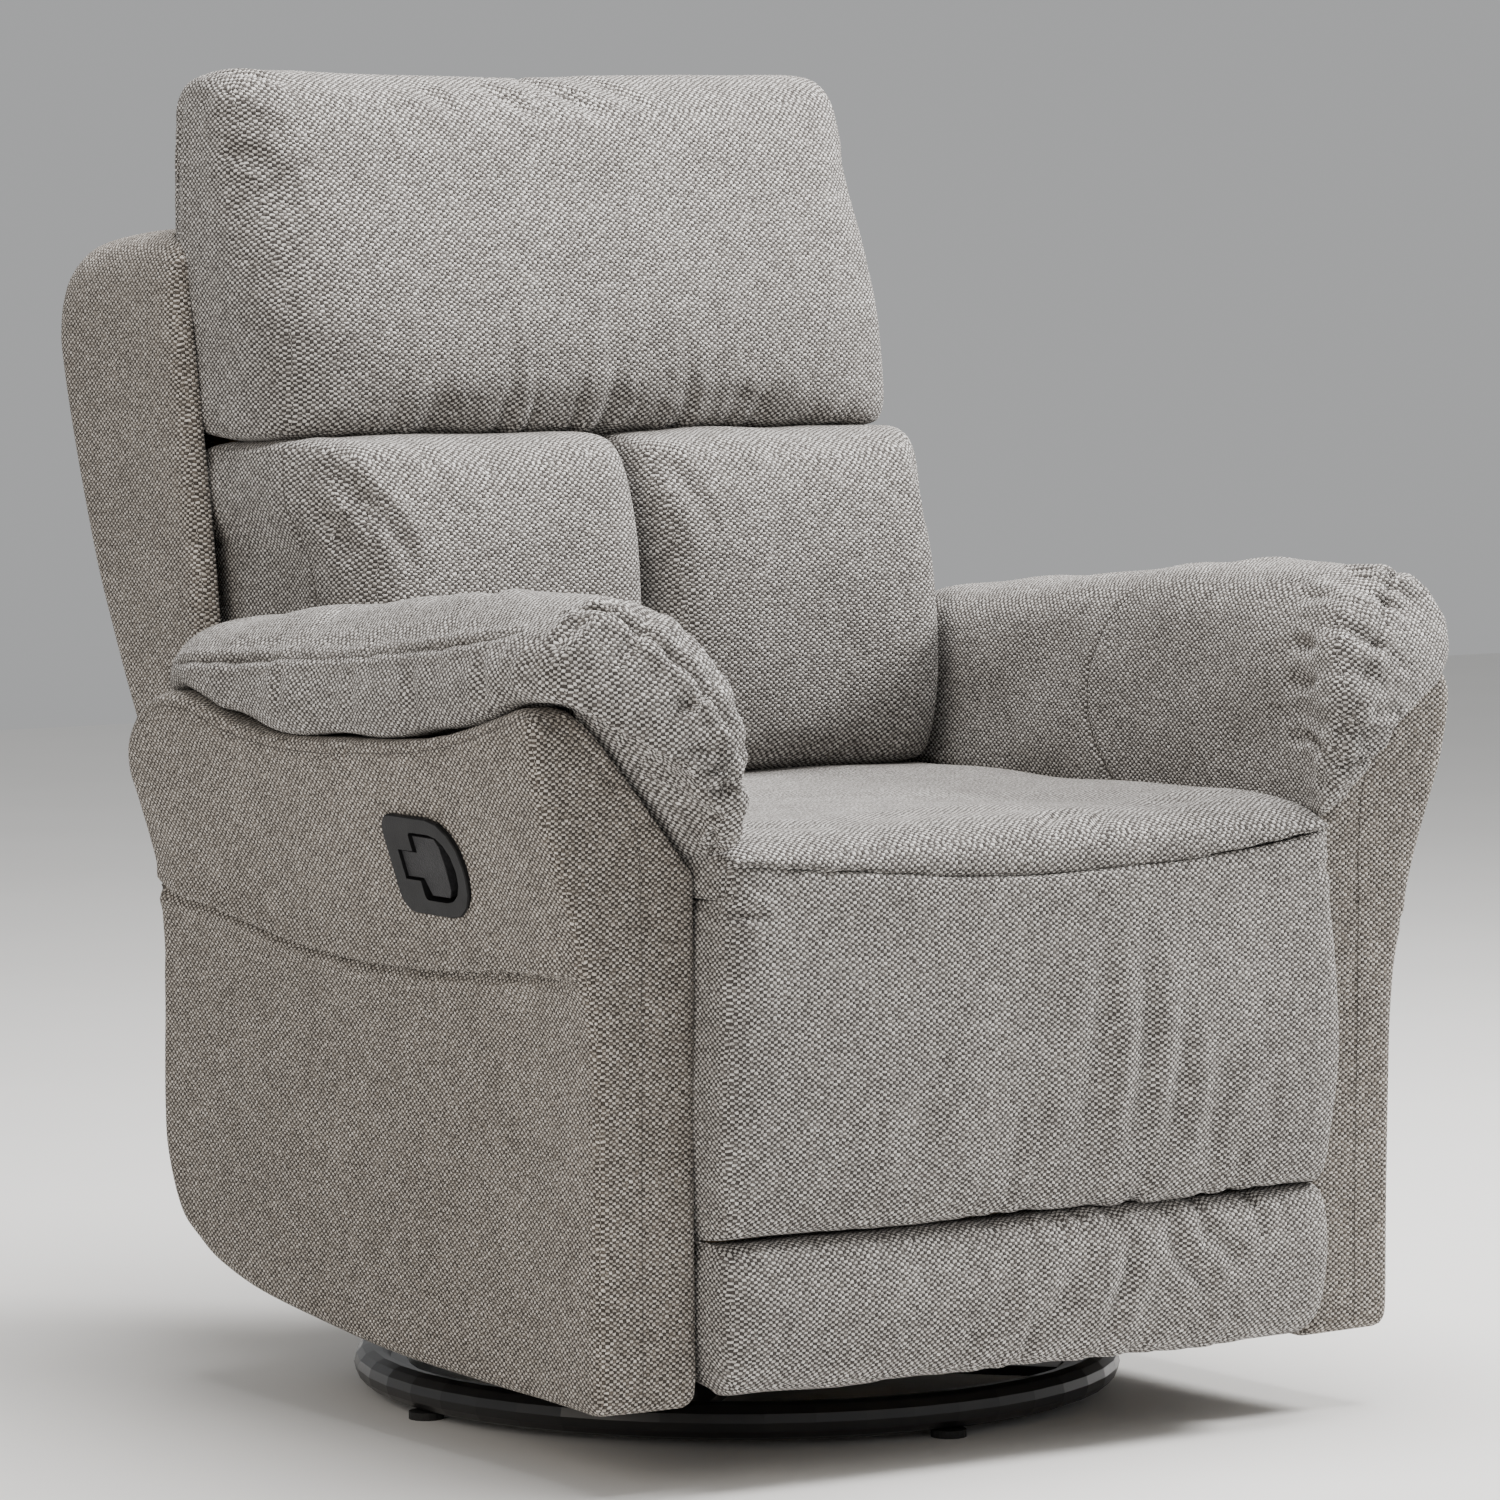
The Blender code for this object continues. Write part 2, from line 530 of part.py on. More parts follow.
elbowY = legRootY + (legPinY - legHingeY)
elbowZ = legRootZ + (legPinZ - legHingeZ)
for side, way in sides:
    x0, x1 = sorted((way * (lugX - plateThick / 2), way * (lugX + plateThick / 2)))
    outline = [(board[1] + gap, legPinZ - 0.030), (legPinY, legPinZ - 0.012), (legPinY + 0.0105, legPinZ - 0.006), (legPinY + 0.0105, legPinZ + 0.006),
               (legPinY, legPinZ + 0.012), (board[1] + gap, legPinZ + 0.030)]
    lug = addMesh("leg_rest_lug_" + side, prismMesh("leg_rest_lug", outline, "yz", x0, x1), "frame_steel")
    combine(lug, roundMesh("bore", (legPinY, legPinZ), holeRadius, x0 - 0.01, x1 + 0.01), "DIFFERENCE")
    lug.data.transform(Matrix.Translation(-Vector(legOrigin)))
    lug.location = legOrigin
    root, elbow, tip = (legRootY, legRootZ), (elbowY, elbowZ), (legPinY, legPinZ)
    linkSolid("leg_link_root_" + side, root, elbow, elbowOutX, way, ((root, sidePlateX - elbowOutX + 0.0035),), 0.010, "link_steel",
              (way * elbowOutX, root[0], root[1]))
    outer = bpy.data.objects["leg_link_root_" + side]
    hole = roundMesh("bore", elbow, holeRadius, *sorted((way * (elbowOutX - 0.01), way * (elbowOutX + 0.01))))
    combine(outer, hole, "DIFFERENCE")
    linkSolid("leg_link_tip_" + side, elbow, tip, elbowInX, way,
              ((elbow, elbowOutX - elbowInX + 0.0030), (tip, lugX - elbowInX - 0.0035)), 0.010, "link_steel",
              (way * elbowInX, elbow[0], elbow[1]))

# ---------------------------------------------------------------- back: frame, shell, head pillow, lumbar pillows
backOrigin = (0, backHingeY, backHingeZ)


def backY(z):
    return backHingeY + (z - backHingeZ) * backLean


frameTopZ = 0.880
bracketX0 = sidePlateX - plateThick / 2 - 0.0047     # inner face of the back brackets
for side, way in sides:
    x0, x1 = sorted((way * (bracketX0 - 0.0250), way * bracketX0))
    lowZ = backHingeZ - 0.012
    outline = [(backY(lowZ) - 0.012, lowZ), (backY(lowZ) + 0.014, lowZ), (backY(frameTopZ) + 0.014, frameTopZ), (backY(frameTopZ) - 0.012, frameTopZ)]
    addMesh("back_upright_" + side, prismMesh("back_upright", outline, "yz", x0, x1), "frame_wood", backOrigin)
    x0, x1 = sorted((way * (bracketX0 + gap), way * (sidePlateX - plateThick / 2 - 0.0010)))
    outline = [(backHingeY - 0.014, backHingeZ - 0.014), (backHingeY + 0.012, backHingeZ - 0.016), (backY(0.500) + 0.013, 0.500), (backY(0.500) - 0.011, 0.500)]
    bracket = addMesh("back_bracket_" + side, prismMesh("back_bracket", outline, "yz", x0, x1), "frame_steel")
    a, b = sorted((way * (bracketX0 + 0.0015), way * (sidePlateX + plateThick / 2 + 0.0001)))
    combine(bracket, roundMesh("pin", (backHingeY, backHingeZ), pinRadius + 0.001, a, b, "x", 20), "UNION")
    bracket.data.transform(Matrix.Translation(-Vector(backOrigin)))
    bracket.location = backOrigin

for name, lowZ, highZ in (("top", 0.835, frameTopZ), ("bottom", 0.440, 0.480)):
    end = bracketX0 - 0.0250 - gap
    outline = [(backY(lowZ) - 0.010, lowZ), (backY(lowZ) + 0.012, lowZ), (backY(highZ) + 0.012, highZ), (backY(highZ) - 0.010, highZ)]
    addMesh("back_rail_" + name, prismMesh("back_rail", outline, "yz", -end, end), "frame_wood", backOrigin)

shellOutline = [(0.2755, 0.871), (0.2300, 0.597), (0.2240, 0.560), (0.2260, 0.500), (0.2400, 0.440), (0.2430, 0.375), (0.2560, 0.371),
                (0.2820, 0.405), (0.3100, 0.450), (0.3555, 0.526), (0.3900, 0.590), (0.4215, 0.653), (rearY - 0.001, 0.840), (rearY, 0.872), (rearY - 0.006, 0.892), (rearY - 0.019, 0.907),
                (rearY - 0.045, 0.919), (rearY - 0.104, 0.927), (0.310, shellTopZ), (0.285, 0.924), (0.2765, 0.905)]
shell = addMesh("back_shell", prismMesh("back_shell", shellOutline, "yz", -shellHalf, shellHalf), "cover_fabric")
recess = [(0.10, 0.30), (0.2260, 0.30), (backY(0.400) + 0.0165, 0.400), (backY(0.8875) + 0.0165, 0.8875), (0.3235, 0.8875), (0.3235, 1.10), (0.10, 1.10)]
combine(shell, prismMesh("recess", recess, "yz", -shellHalf + 0.0205, shellHalf - 0.0205), "DIFFERENCE")
soften(shell, 0.012, 2, 50)
shell.data.transform(Matrix.Translation(-Vector(backOrigin)))
shell.location = backOrigin


def pillowRings(sections, lowX, highX, edge, bulge):
    """Pillow as stacked sections along X: full in the middle, drawn in at both ends."""
    rings = []
    width = highX - lowX
    for place, scale in ((0.0, edge), (0.06, edge + (1 - edge) * 0.55), (0.20, 0.96), (0.50, 1.0), (0.80, 0.96), (0.94, edge + (1 - edge) * 0.55), (1.0, edge)):
        middleY = sum(p[0] for p in sections) / len(sections)
        middleZ = sum(p[1] for p in sections) / len(sections)
        ring = []
        for y, z in sections:
            depth = middleY + (y - middleY) * scale
            height = middleZ + (z - middleZ) * (1 - (1 - scale) * 0.12)
            ring.append((lowX + width * place, depth, height))
        rings.append(ring)
    return rings


headOutline = [(0.1540, 0.768), (0.1375, 0.790), (0.1500, 0.865), (0.1880, 0.949), (0.2250, 1.030), (0.2480, overallHeight - 0.008), (0.2800, overallHeight),
               (0.3080, overallHeight - 0.010), (0.3200, 1.020), (0.3190, 0.870), (0.3030, 0.790), (0.2900, 0.768)]
addMesh("head_pillow", loftMesh("head_pillow", pillowRings(headOutline, -pillowHalf, pillowHalf, 0.70, 0)), "cover_fabric", backOrigin, smooth=True)

lumbarOutline = [(0.0600, 0.483), (0.0400, 0.510), (0.0350, 0.590), (0.0480, 0.670), (0.0750, 0.735), (0.1150, 0.764),
                 (0.2600, 0.764), (0.2850, 0.740), (0.2500, 0.620), (0.2120, 0.500), (0.1980, 0.483)]
for side, low, high in (("left", 0.0015, seatHalf - 0.001), ("right", -seatHalf + 0.001, -0.0015)):
    addMesh("lumbar_pillow_" + side, loftMesh("lumbar_pillow", pillowRings(lumbarOutline, low, high, 0.80, 0)), "cover_fabric", backOrigin, smooth=True)

# ---------------------------------------------------------------- release: bezel cup, paddle and latch
cupOuter = dOutline(bezelLong - 0.0106, bezelTall - 0.0106, 0.0117, 0.0317)
bezel = addMesh("release_bezel", onBezel(prismMesh("release_bezel", dOutline(bezelLong, bezelTall, 0.016, 0.036), "xy", gap, 0.0050)), "handle_plastic")
soften(bezel, 0.0009, 1, 50)
combine(bezel, onBezel(prismMesh("cup", cupOuter, "xy", -pocketDepth, 0.0040)), "UNION")
wellFront, wellRear, wellHalf = bezelLong / 2 - 0.0115, -0.0150, bezelTall / 2 - 0.0125
stemRear, stemHalf, headFront, slotRoom = -0.0345, 0.0105, 0.0240, 0.0015
wellOutline = [(a + (wellFront + wellRear) / 2, b) for a, b in dOutline(wellFront - wellRear, wellHalf * 2, 0.004, 0.026)]
slotOutline = [(stemRear - slotRoom, -stemHalf - slotRoom), (wellRear + 0.004, -stemHalf - slotRoom), (wellRear + 0.004, stemHalf + slotRoom), (stemRear - slotRoom, stemHalf + slotRoom)]
combine(bezel, onBezel(prismMesh("well", wellOutline, "xy", -pocketDepth + 0.003, 0.02)), "DIFFERENCE")
combine(bezel, onBezel(prismMesh("slot", slotOutline, "xy", -pocketDepth + 0.003, 0.02)), "DIFFERENCE")

paddleAxisA = -0.0310                        # the paddle swings on its stem, at the rear of the slot
paddleTop = 0.0030                           # its face stands just under the bezel's
paddleOrigin = bezelPoint(paddleAxisA, 0, paddleTop - 0.0035)
headHalf = wellHalf - slotRoom - 0.0020
neck = wellRear + slotRoom + 0.0010
paddleOutline = [(stemRear, -stemHalf), (neck, -stemHalf), (neck + 0.0060, -headHalf), (headFront - 0.0060, -headHalf), (headFront - 0.0015, -headHalf + 0.0060),
                 (headFront, 0.0), (headFront - 0.0015, headHalf - 0.0060), (headFront - 0.0060, headHalf), (neck, headHalf), (neck, stemHalf), (stemRear, stemHalf)]
paddle = addMesh("release_paddle", onBezel(prismMesh("release_paddle", paddleOutline, "xy", paddleTop - 0.0070, paddleTop)), "handle_plastic")
lipOutline = [(headFront - 0.0065, -0.0160), (headFront - 0.0020, -0.0160), (headFront - 0.0020, 0.0160), (headFront - 0.0065, 0.0160)]
combine(paddle, onBezel(prismMesh("grip", lipOutline, "xy", paddleTop - 0.0130, paddleTop - 0.0060)), "UNION")
soften(paddle, 0.0009, 1, 40)
paddle.data.transform(Matrix.Translation(-paddleOrigin))
paddle.location = paddleOrigin

latchY, latchZ = -0.020, 0.322
latchX0, latchX1 = -(sidePlateX - plateThick / 2 - gap), -(sidePlateX - plateThick / 2 - gap - 0.004)
latch = addMesh("release_latch", prismMesh("release_latch", [(latchY - 0.012, latchZ + 0.012), (latchY - 0.012, latchZ - 0.010), (latchY - 0.004, latchZ - 0.050),
                                                             (latchY + 0.006, latchZ - 0.050), (latchY + 0.012, latchZ - 0.010), (latchY + 0.012, latchZ + 0.012)],
                                           "yz", latchX0, latchX1), "link_steel")
latch.data.transform(Matrix.Translation(-Vector((latchX0, latchY, latchZ))))
latch.location = (latchX0, latchY, latchZ)

bpy.context.view_layer.update()
print("pieces", len(partsCollection.objects), "triangles",
      sum(len(p.vertices) - 2 for body in partsCollection.objects for p in body.data.polygons))
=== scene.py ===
import math

import bmesh
import bpy
import numpy as np
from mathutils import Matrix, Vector
from mathutils.bvhtree import BVHTree


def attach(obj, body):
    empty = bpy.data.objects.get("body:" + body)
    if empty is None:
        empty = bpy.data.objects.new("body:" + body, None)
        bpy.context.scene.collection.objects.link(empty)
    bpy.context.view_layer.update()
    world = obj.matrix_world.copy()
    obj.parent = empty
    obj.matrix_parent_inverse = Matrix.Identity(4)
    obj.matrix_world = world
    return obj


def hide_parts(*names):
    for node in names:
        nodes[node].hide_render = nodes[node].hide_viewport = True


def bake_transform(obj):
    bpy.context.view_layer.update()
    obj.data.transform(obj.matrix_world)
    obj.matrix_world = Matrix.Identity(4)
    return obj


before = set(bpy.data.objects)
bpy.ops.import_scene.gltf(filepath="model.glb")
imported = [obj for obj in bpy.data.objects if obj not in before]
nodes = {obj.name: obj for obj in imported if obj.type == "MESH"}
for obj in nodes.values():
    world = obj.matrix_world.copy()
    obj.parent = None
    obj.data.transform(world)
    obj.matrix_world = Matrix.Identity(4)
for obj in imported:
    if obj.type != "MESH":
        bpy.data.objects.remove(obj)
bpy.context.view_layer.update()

scene = bpy.context.scene

# ------------------------------------------------ small tools for points and curves


def keyed(keys, values, at):
    # smooth line through keyed rows that never overshoots them
    keys, values, at = np.asarray(keys, float), np.asarray(values, float), np.asarray(at, float)
    flat = values.reshape(len(keys), -1)
    step = np.diff(keys)[:, None]
    slope = np.diff(flat, axis=0) / step
    tangent = np.zeros_like(flat)
    tangent[0], tangent[-1] = slope[0], slope[-1]
    same = slope[:-1] * slope[1:] > 0
    total = slope[:-1] + slope[1:]
    tangent[1:-1] = np.where(same, 2 * slope[:-1] * slope[1:] / np.where(same, total, 1), 0)
    index = np.clip(np.searchsorted(keys, at) - 1, 0, len(keys) - 2)
    width = step[index, 0]
    t = unit((at - keys[index]) / width)[:, None]
    width = width[:, None]
    made = ((2 * t**3 - 3 * t**2 + 1) * flat[index] + (t**3 - 2 * t**2 + t) * width * tangent[index]
            + (-2 * t**3 + 3 * t**2) * flat[index + 1] + (t**3 - t**2) * width * tangent[index + 1])
    return made.reshape((len(at),) + values.shape[1:])


def evenly(points, count, closed=False):
    # the same line with its points spaced evenly along it
    points = np.asarray(points, float)
    if closed:
        points = np.vstack([points, points[:1]])
    run = np.concatenate([[0], np.cumsum(np.linalg.norm(np.diff(points, axis=0), axis=1))])
    places = np.linspace(0, run[-1], count + 1)[:-1] if closed else np.linspace(0, run[-1], count)
    return np.stack([np.interp(places, run, points[:, axis]) for axis in range(points.shape[1])], axis=1)


def roundedLoop(points, count, fine=16):
    # closed curve through a few points, with no flat runs between them
    points = np.asarray(points, float)
    before, after, beyond = np.roll(points, 1, 0), np.roll(points, -1, 0), np.roll(points, -2, 0)
    made = []
    for step in range(fine):
        t = step / fine
        made.append(0.5 * (2 * points + (after - before) * t + (2 * before - 5 * points + 4 * after - beyond) * t**2
                           + (3 * points - before - 3 * after + beyond) * t**3))
    return evenly(np.stack(made, axis=1).reshape(-1, points.shape[1]), count, closed=True)


def smoothLine(points, count):
    # open curve through a few points in space
    points = np.asarray(points, float)
    run = np.concatenate([[0], np.cumsum(np.linalg.norm(np.diff(points, axis=0), axis=1))])
    ends = np.vstack([2 * points[0] - points[1], points, 2 * points[-1] - points[-2]])
    made = []
    for index in range(len(points) - 1):
        a, b, c, d = ends[index:index + 4]
        for t in np.linspace(0, 1, 24, endpoint=False):
            made.append(0.5 * (2 * b + (c - a) * t + (2 * a - 5 * b + 4 * c - d) * t**2 + (3 * b - a - 3 * c + d) * t**3))
    made.append(points[-1])
    return evenly(made, count)


def waves(points, length, seed, strands=9):
    # smooth uneven swell in space, about -1 to 1
    chance = np.random.default_rng(seed)
    total = np.zeros(len(points))
    for strand in range(strands):
        direction = chance.normal(size=points.shape[1])
        direction *= 2 * math.pi / (length * chance.uniform(0.7, 1.5)) / np.linalg.norm(direction)
        total += np.cos(points @ direction + chance.uniform(0, 2 * math.pi))
    return total / math.sqrt(strands) / 1.2


def unit(value):
    return np.clip(value, 0, 1)


def readPoints(body):
    places = np.empty(len(body.data.vertices) * 3)
    body.data.vertices.foreach_get("co", places)
    return places.reshape(-1, 3)


def writePoints(body, places):
    body.data.vertices.foreach_set("co", np.asarray(places, float).reshape(-1))
    body.data.update()


def readNormals(body):
    body.data.update()
    facing = np.empty(len(body.data.vertices) * 3)
    body.data.vertex_normals.foreach_get("vector", facing)
    return facing.reshape(-1, 3)


def makeBody(name, vertices, faces, material=None, smooth=True, outward=True):
    mesh = bpy.data.meshes.new(name)
    mesh.from_pydata([tuple(v) for v in vertices], [], [tuple(int(i) for i in f) for f in faces])
    if outward:
        grown = bmesh.new()
        grown.from_mesh(mesh)
        bmesh.ops.remove_doubles(grown, verts=grown.verts, dist=0.00002)
        bmesh.ops.recalc_face_normals(grown, faces=grown.faces)
        grown.to_mesh(mesh)
        grown.free()
    mesh.polygons.foreach_set("use_smooth", [smooth] * len(mesh.polygons))
    body = bpy.data.objects.new(name, mesh)
    scene.collection.objects.link(body)
    if material:
        mesh.materials.append(material)
    return body


def skin(name, rings, material):
    # closed skin through rings of points, drawn together at both ends
    rings = np.asarray(rings, float)
    rows, count = rings.shape[:2]
    vertices = list(rings.reshape(-1, 3)) + [rings[0].mean(0), rings[-1].mean(0)]
    around = np.arange(count)
    nextAround = (around + 1) % count
    faces = []
    for row in range(rows - 1):
        here, there = row * count, (row + 1) * count
        faces += list(zip(here + around, here + nextAround, there + nextAround, there + around))
    first, last, start, end = rows * count, rows * count + 1, 0, (rows - 1) * count
    faces += [(first, start + b, start + a) for a, b in zip(around, nextAround)]
    faces += [(last, end + a, end + b) for a, b in zip(around, nextAround)]
    return makeBody(name, vertices, faces, material)


def endCurve(power, half, reach, count):
    # how a pillow closes towards its end: distance out, and how much of the section is left
    out = np.linspace(0, 1, 400) ** 0.5
    left = unit(1 - out**power) ** (1 / power)
    turn = np.argmax(left < out)
    rest = np.linspace(left[turn], 0.015, 400)
    line = np.vstack([np.stack([out[:turn], left[:turn]], 1), np.stack([unit(1 - rest**power) ** (1 / power), rest], 1)])
    scaled = evenly(line * [half, reach], count)
    return scaled[:, 0] / half, scaled[:, 1] / reach


def pillowForm(sizes, material):
    # stuffed form: a side profile drawn out along X and closed softly at both ends
    loop = roundedLoop(sizes["profile"], sizes["around"])
    lowX, highX = sizes["across"]
    half, middleX = (highX - lowX) / 2, (highX + lowX) / 2
    middle = (loop.max(0) + loop.min(0)) / 2
    anchor = np.array(sizes.get("anchor", middle))           # the ends draw back towards this (depth, height)
    tall = sizes.get("tall", 1.0)                            # how much of that drawing-in takes height too
    reach = (loop.max(0) - loop.min(0)).mean() / 2
    places = []
    for way, power in ((-1, sizes["ends"][0]), (1, sizes["ends"][1])):
        out, left = endCurve(power, half, reach, sizes["along"] // 2)
        rows = [(middleX + way * half * a, b) for a, b in zip(out, left)]
        places += rows[:0:-1] if way < 0 else rows
    rings = []
    for x, share in places:
        shrink = np.array([share, 1 - (1 - share) * tall])
        rings.append(np.column_stack([np.full(len(loop), x), anchor + (loop - anchor) * shrink]))
    return skin(sizes["name"], rings, material)


# ------------------------------------------------ small tools for cloth


def nearLine(places, line):
    # distance to a line in space, and how far along it
    line = evenly(line, max(20, int(np.linalg.norm(np.diff(line, axis=0), axis=1).sum() / 0.003)))
    run = np.concatenate([[0], np.cumsum(np.linalg.norm(np.diff(line, axis=0), axis=1))])
    apart, along = np.full(len(places), 1.0), np.zeros(len(places))
    low, high = line.min(0) - 0.15, line.max(0) + 0.15
    close = np.flatnonzero(np.all((places > low) & (places < high), axis=1))
    for start in range(0, len(close), 6000):
        part = close[start:start + 6000]
        gapSquared = ((places[part, None, :] - line[None]) ** 2).sum(2)
        nearest = gapSquared.argmin(1)
        apart[part] = np.sqrt(gapSquared[np.arange(len(part)), nearest])
        along[part] = run[nearest]
    return apart, along, run[-1]


def unevenRow(along, length, seed):
    # ridges along a line whose spacing and height wander, 0 to 1
    wander = waves(along[:, None], length * 5, seed) * 1.1
    height = 0.55 + 0.45 * waves(along[:, None], length * 2.6, seed + 1)
    return np.clip(height, 0.05, 1) * (0.5 + 0.5 * np.cos(2 * math.pi * along / length + wander * 2.5)) ** 1.6


def groove(body, line, depth, width, puff=0.35):
    # sewn seam: a narrow valley with the cloth swelling beside it
    places, facing = readPoints(body), readNormals(body)
    apart, along, total = nearLine(places, line)
    ends = unit(np.minimum(along, total - along) / 0.004 + 0.3)
    move = -depth * np.exp(-(apart / width) ** 2) + puff * depth * np.exp(-((apart - 2.6 * width) / (1.5 * width)) ** 2)
    writePoints(body, places + facing * (move * ends)[:, None])


def gather(body, line, depth, reach, pitch, seed, only=None):
    # puckers that run out from a gathered seam
    places, facing = readPoints(body), readNormals(body)
    apart, along, total = nearLine(places, line)
    length = reach * (0.75 + 0.55 * waves(along[:, None], pitch * 2.0, seed + 7))
    fade = np.exp(-(apart / np.clip(length, reach * 0.25, None)) ** 1.6)
    taper = unit(np.minimum(along, total - along) / (pitch * 1.5))
    skew = along + 0.10 * apart * waves(along[:, None], 0.12, seed + 3)
    move = -depth * (unevenRow(skew, pitch, seed) - 0.35) * fade * taper
    if only is not None:
        move *= only(places)
    writePoints(body, places + facing * move[:, None])


def fold(body, points, depth, width, lip=0.45):
    # one soft crease that dies out at both ends
    places, facing = readPoints(body), readNormals(body)
    apart, along, total = nearLine(places, smoothLine(points, 60))
    swell = np.sin(np.pi * unit(along / total)) ** 0.8
    move = -depth * np.exp(-(apart / width) ** 2) + lip * depth * np.exp(-((apart - 1.9 * width) / (1.1 * width)) ** 2)
    writePoints(body, places + facing * (move * swell)[:, None])


def swell(body, amount, length, seed):
    # slight unevenness of stuffing under the cloth
    places, facing = readPoints(body), readNormals(body)
    writePoints(body, places + facing * (amount * waves(places, length, seed))[:, None])


def inflate(body, pressure, cap, frames=18):
    # lets the cover fill out and crumple as cloth, within a small distance of where it was cut
    before = readPoints(body)
    cloth = body.modifiers.new("cover", "CLOTH")
    cloth.settings.quality = 5
    cloth.settings.mass = 0.25
    cloth.settings.tension_stiffness = 18
    cloth.settings.compression_stiffness = 18
    cloth.settings.shear_stiffness = 8
    cloth.settings.bending_stiffness = 0.6
    cloth.settings.use_pressure = True
    cloth.settings.uniform_pressure_force = pressure
    cloth.settings.effector_weights.gravity = 0
    cloth.collision_settings.use_collision = False
    cloth.point_cache.frame_start, cloth.point_cache.frame_end = 1, frames
    for number in range(1, frames + 1):
        scene.frame_set(number)
    filled = bpy.data.meshes.new_from_object(body.evaluated_get(bpy.context.evaluated_depsgraph_get()))
    after = np.empty(len(filled.vertices) * 3)
    filled.vertices.foreach_get("co", after)
    bpy.data.meshes.remove(filled)
    body.modifiers.clear()
    scene.frame_set(1)
    move = after.reshape(-1, 3) - before
    size = np.linalg.norm(move, axis=1)
    limit = cap * np.tanh(size / cap) / np.where(size > 0, size, 1)
    writePoints(body, before + move * limit[:, None])


# ------------------------------------------------ materials


class Wire:
    # one socket of a node tree, so that shading can be written as sums
    def __init__(self, tree, socket):
        self.tree, self.socket = tree, socket

    def sum(self, operation, other=None, third=None, swapped=False):
        node = self.tree.nodes.new("ShaderNodeMath")
        node.operation = operation
        values = [self, other, third]
        if swapped:
            values = [other, self, third]
        for slotIndex, value in enumerate(values):
            if isinstance(value, Wire):
                self.tree.links.new(value.socket, node.inputs[slotIndex])
            elif value is not None:
                node.inputs[slotIndex].default_value = value
        return Wire(self.tree, node.outputs[0])

    def __add__(self, other): return self.sum("ADD", other)
    def __radd__(self, other): return self.sum("ADD", other)
    def __sub__(self, other): return self.sum("SUBTRACT", other)
    def __rsub__(self, other): return self.sum("SUBTRACT", other, swapped=True)
    def __mul__(self, other): return self.sum("MULTIPLY", other)
    def __rmul__(self, other): return self.sum("MULTIPLY", other)
    def __truediv__(self, other): return self.sum("DIVIDE", other)
    def __pow__(self, other): return self.sum("POWER", other)
    def __gt__(self, other): return self.sum("GREATER_THAN", other)


class Recipe:
    # a material being put together
    def __init__(self, name):
        self.material = bpy.data.materials.new(name)
        self.material.use_nodes = True
        self.tree = self.material.node_tree
        self.shader = self.tree.nodes["Principled BSDF"]

    def add(self, kind, settings=None, inputs=None, output=0):
        node = self.tree.nodes.new(kind)
        for key, value in (settings or {}).items():
            if key == "stops":
                while len(node.color_ramp.elements) < len(value):
                    node.color_ramp.elements.new(0.5)
                for element, (place, colour) in zip(node.color_ramp.elements, value):
                    element.position, element.color = place, (*colour, 1)
            else:
                setattr(node, key, value)
        for key, value in (inputs or {}).items():
            if isinstance(value, Wire):
                self.tree.links.new(value.socket, node.inputs[key])
            else:
                node.inputs[key].default_value = value
        return Wire(self.tree, node.outputs[output])

    def split(self, vector):
        node = self.tree.nodes.new("ShaderNodeSeparateXYZ")
        self.tree.links.new(vector.socket, node.inputs[0])
        return [Wire(self.tree, node.outputs[index]) for index in range(3)]

    def join(self, x, y, z=0.0):
        return self.add("ShaderNodeCombineXYZ", None, {"X": x, "Y": y, "Z": z})

    def choose(self, mask, low, high):
        return self.add("ShaderNodeMix", {"data_type": "FLOAT"}, {0: mask, 2: low, 3: high})

    def tint(self, mask, low, high, blend="MIX"):
        return self.add("ShaderNodeMix", {"data_type": "RGBA", "blend_type": blend}, {0: mask, 6: low, 7: high}, output=2)

    def noise(self, vector, scale, detail=2.0, rough=0.5):
        return self.add("ShaderNodeTexNoise", None, {"Vector": vector, "Scale": scale, "Detail": detail, "Roughness": rough})

    def finish(self, plain, varying):
        for key, value in plain.items():
            self.shader.inputs[key].default_value = value
        for key, value in varying.items():
            self.tree.links.new(value.socket, self.shader.inputs[key])
        return self.material


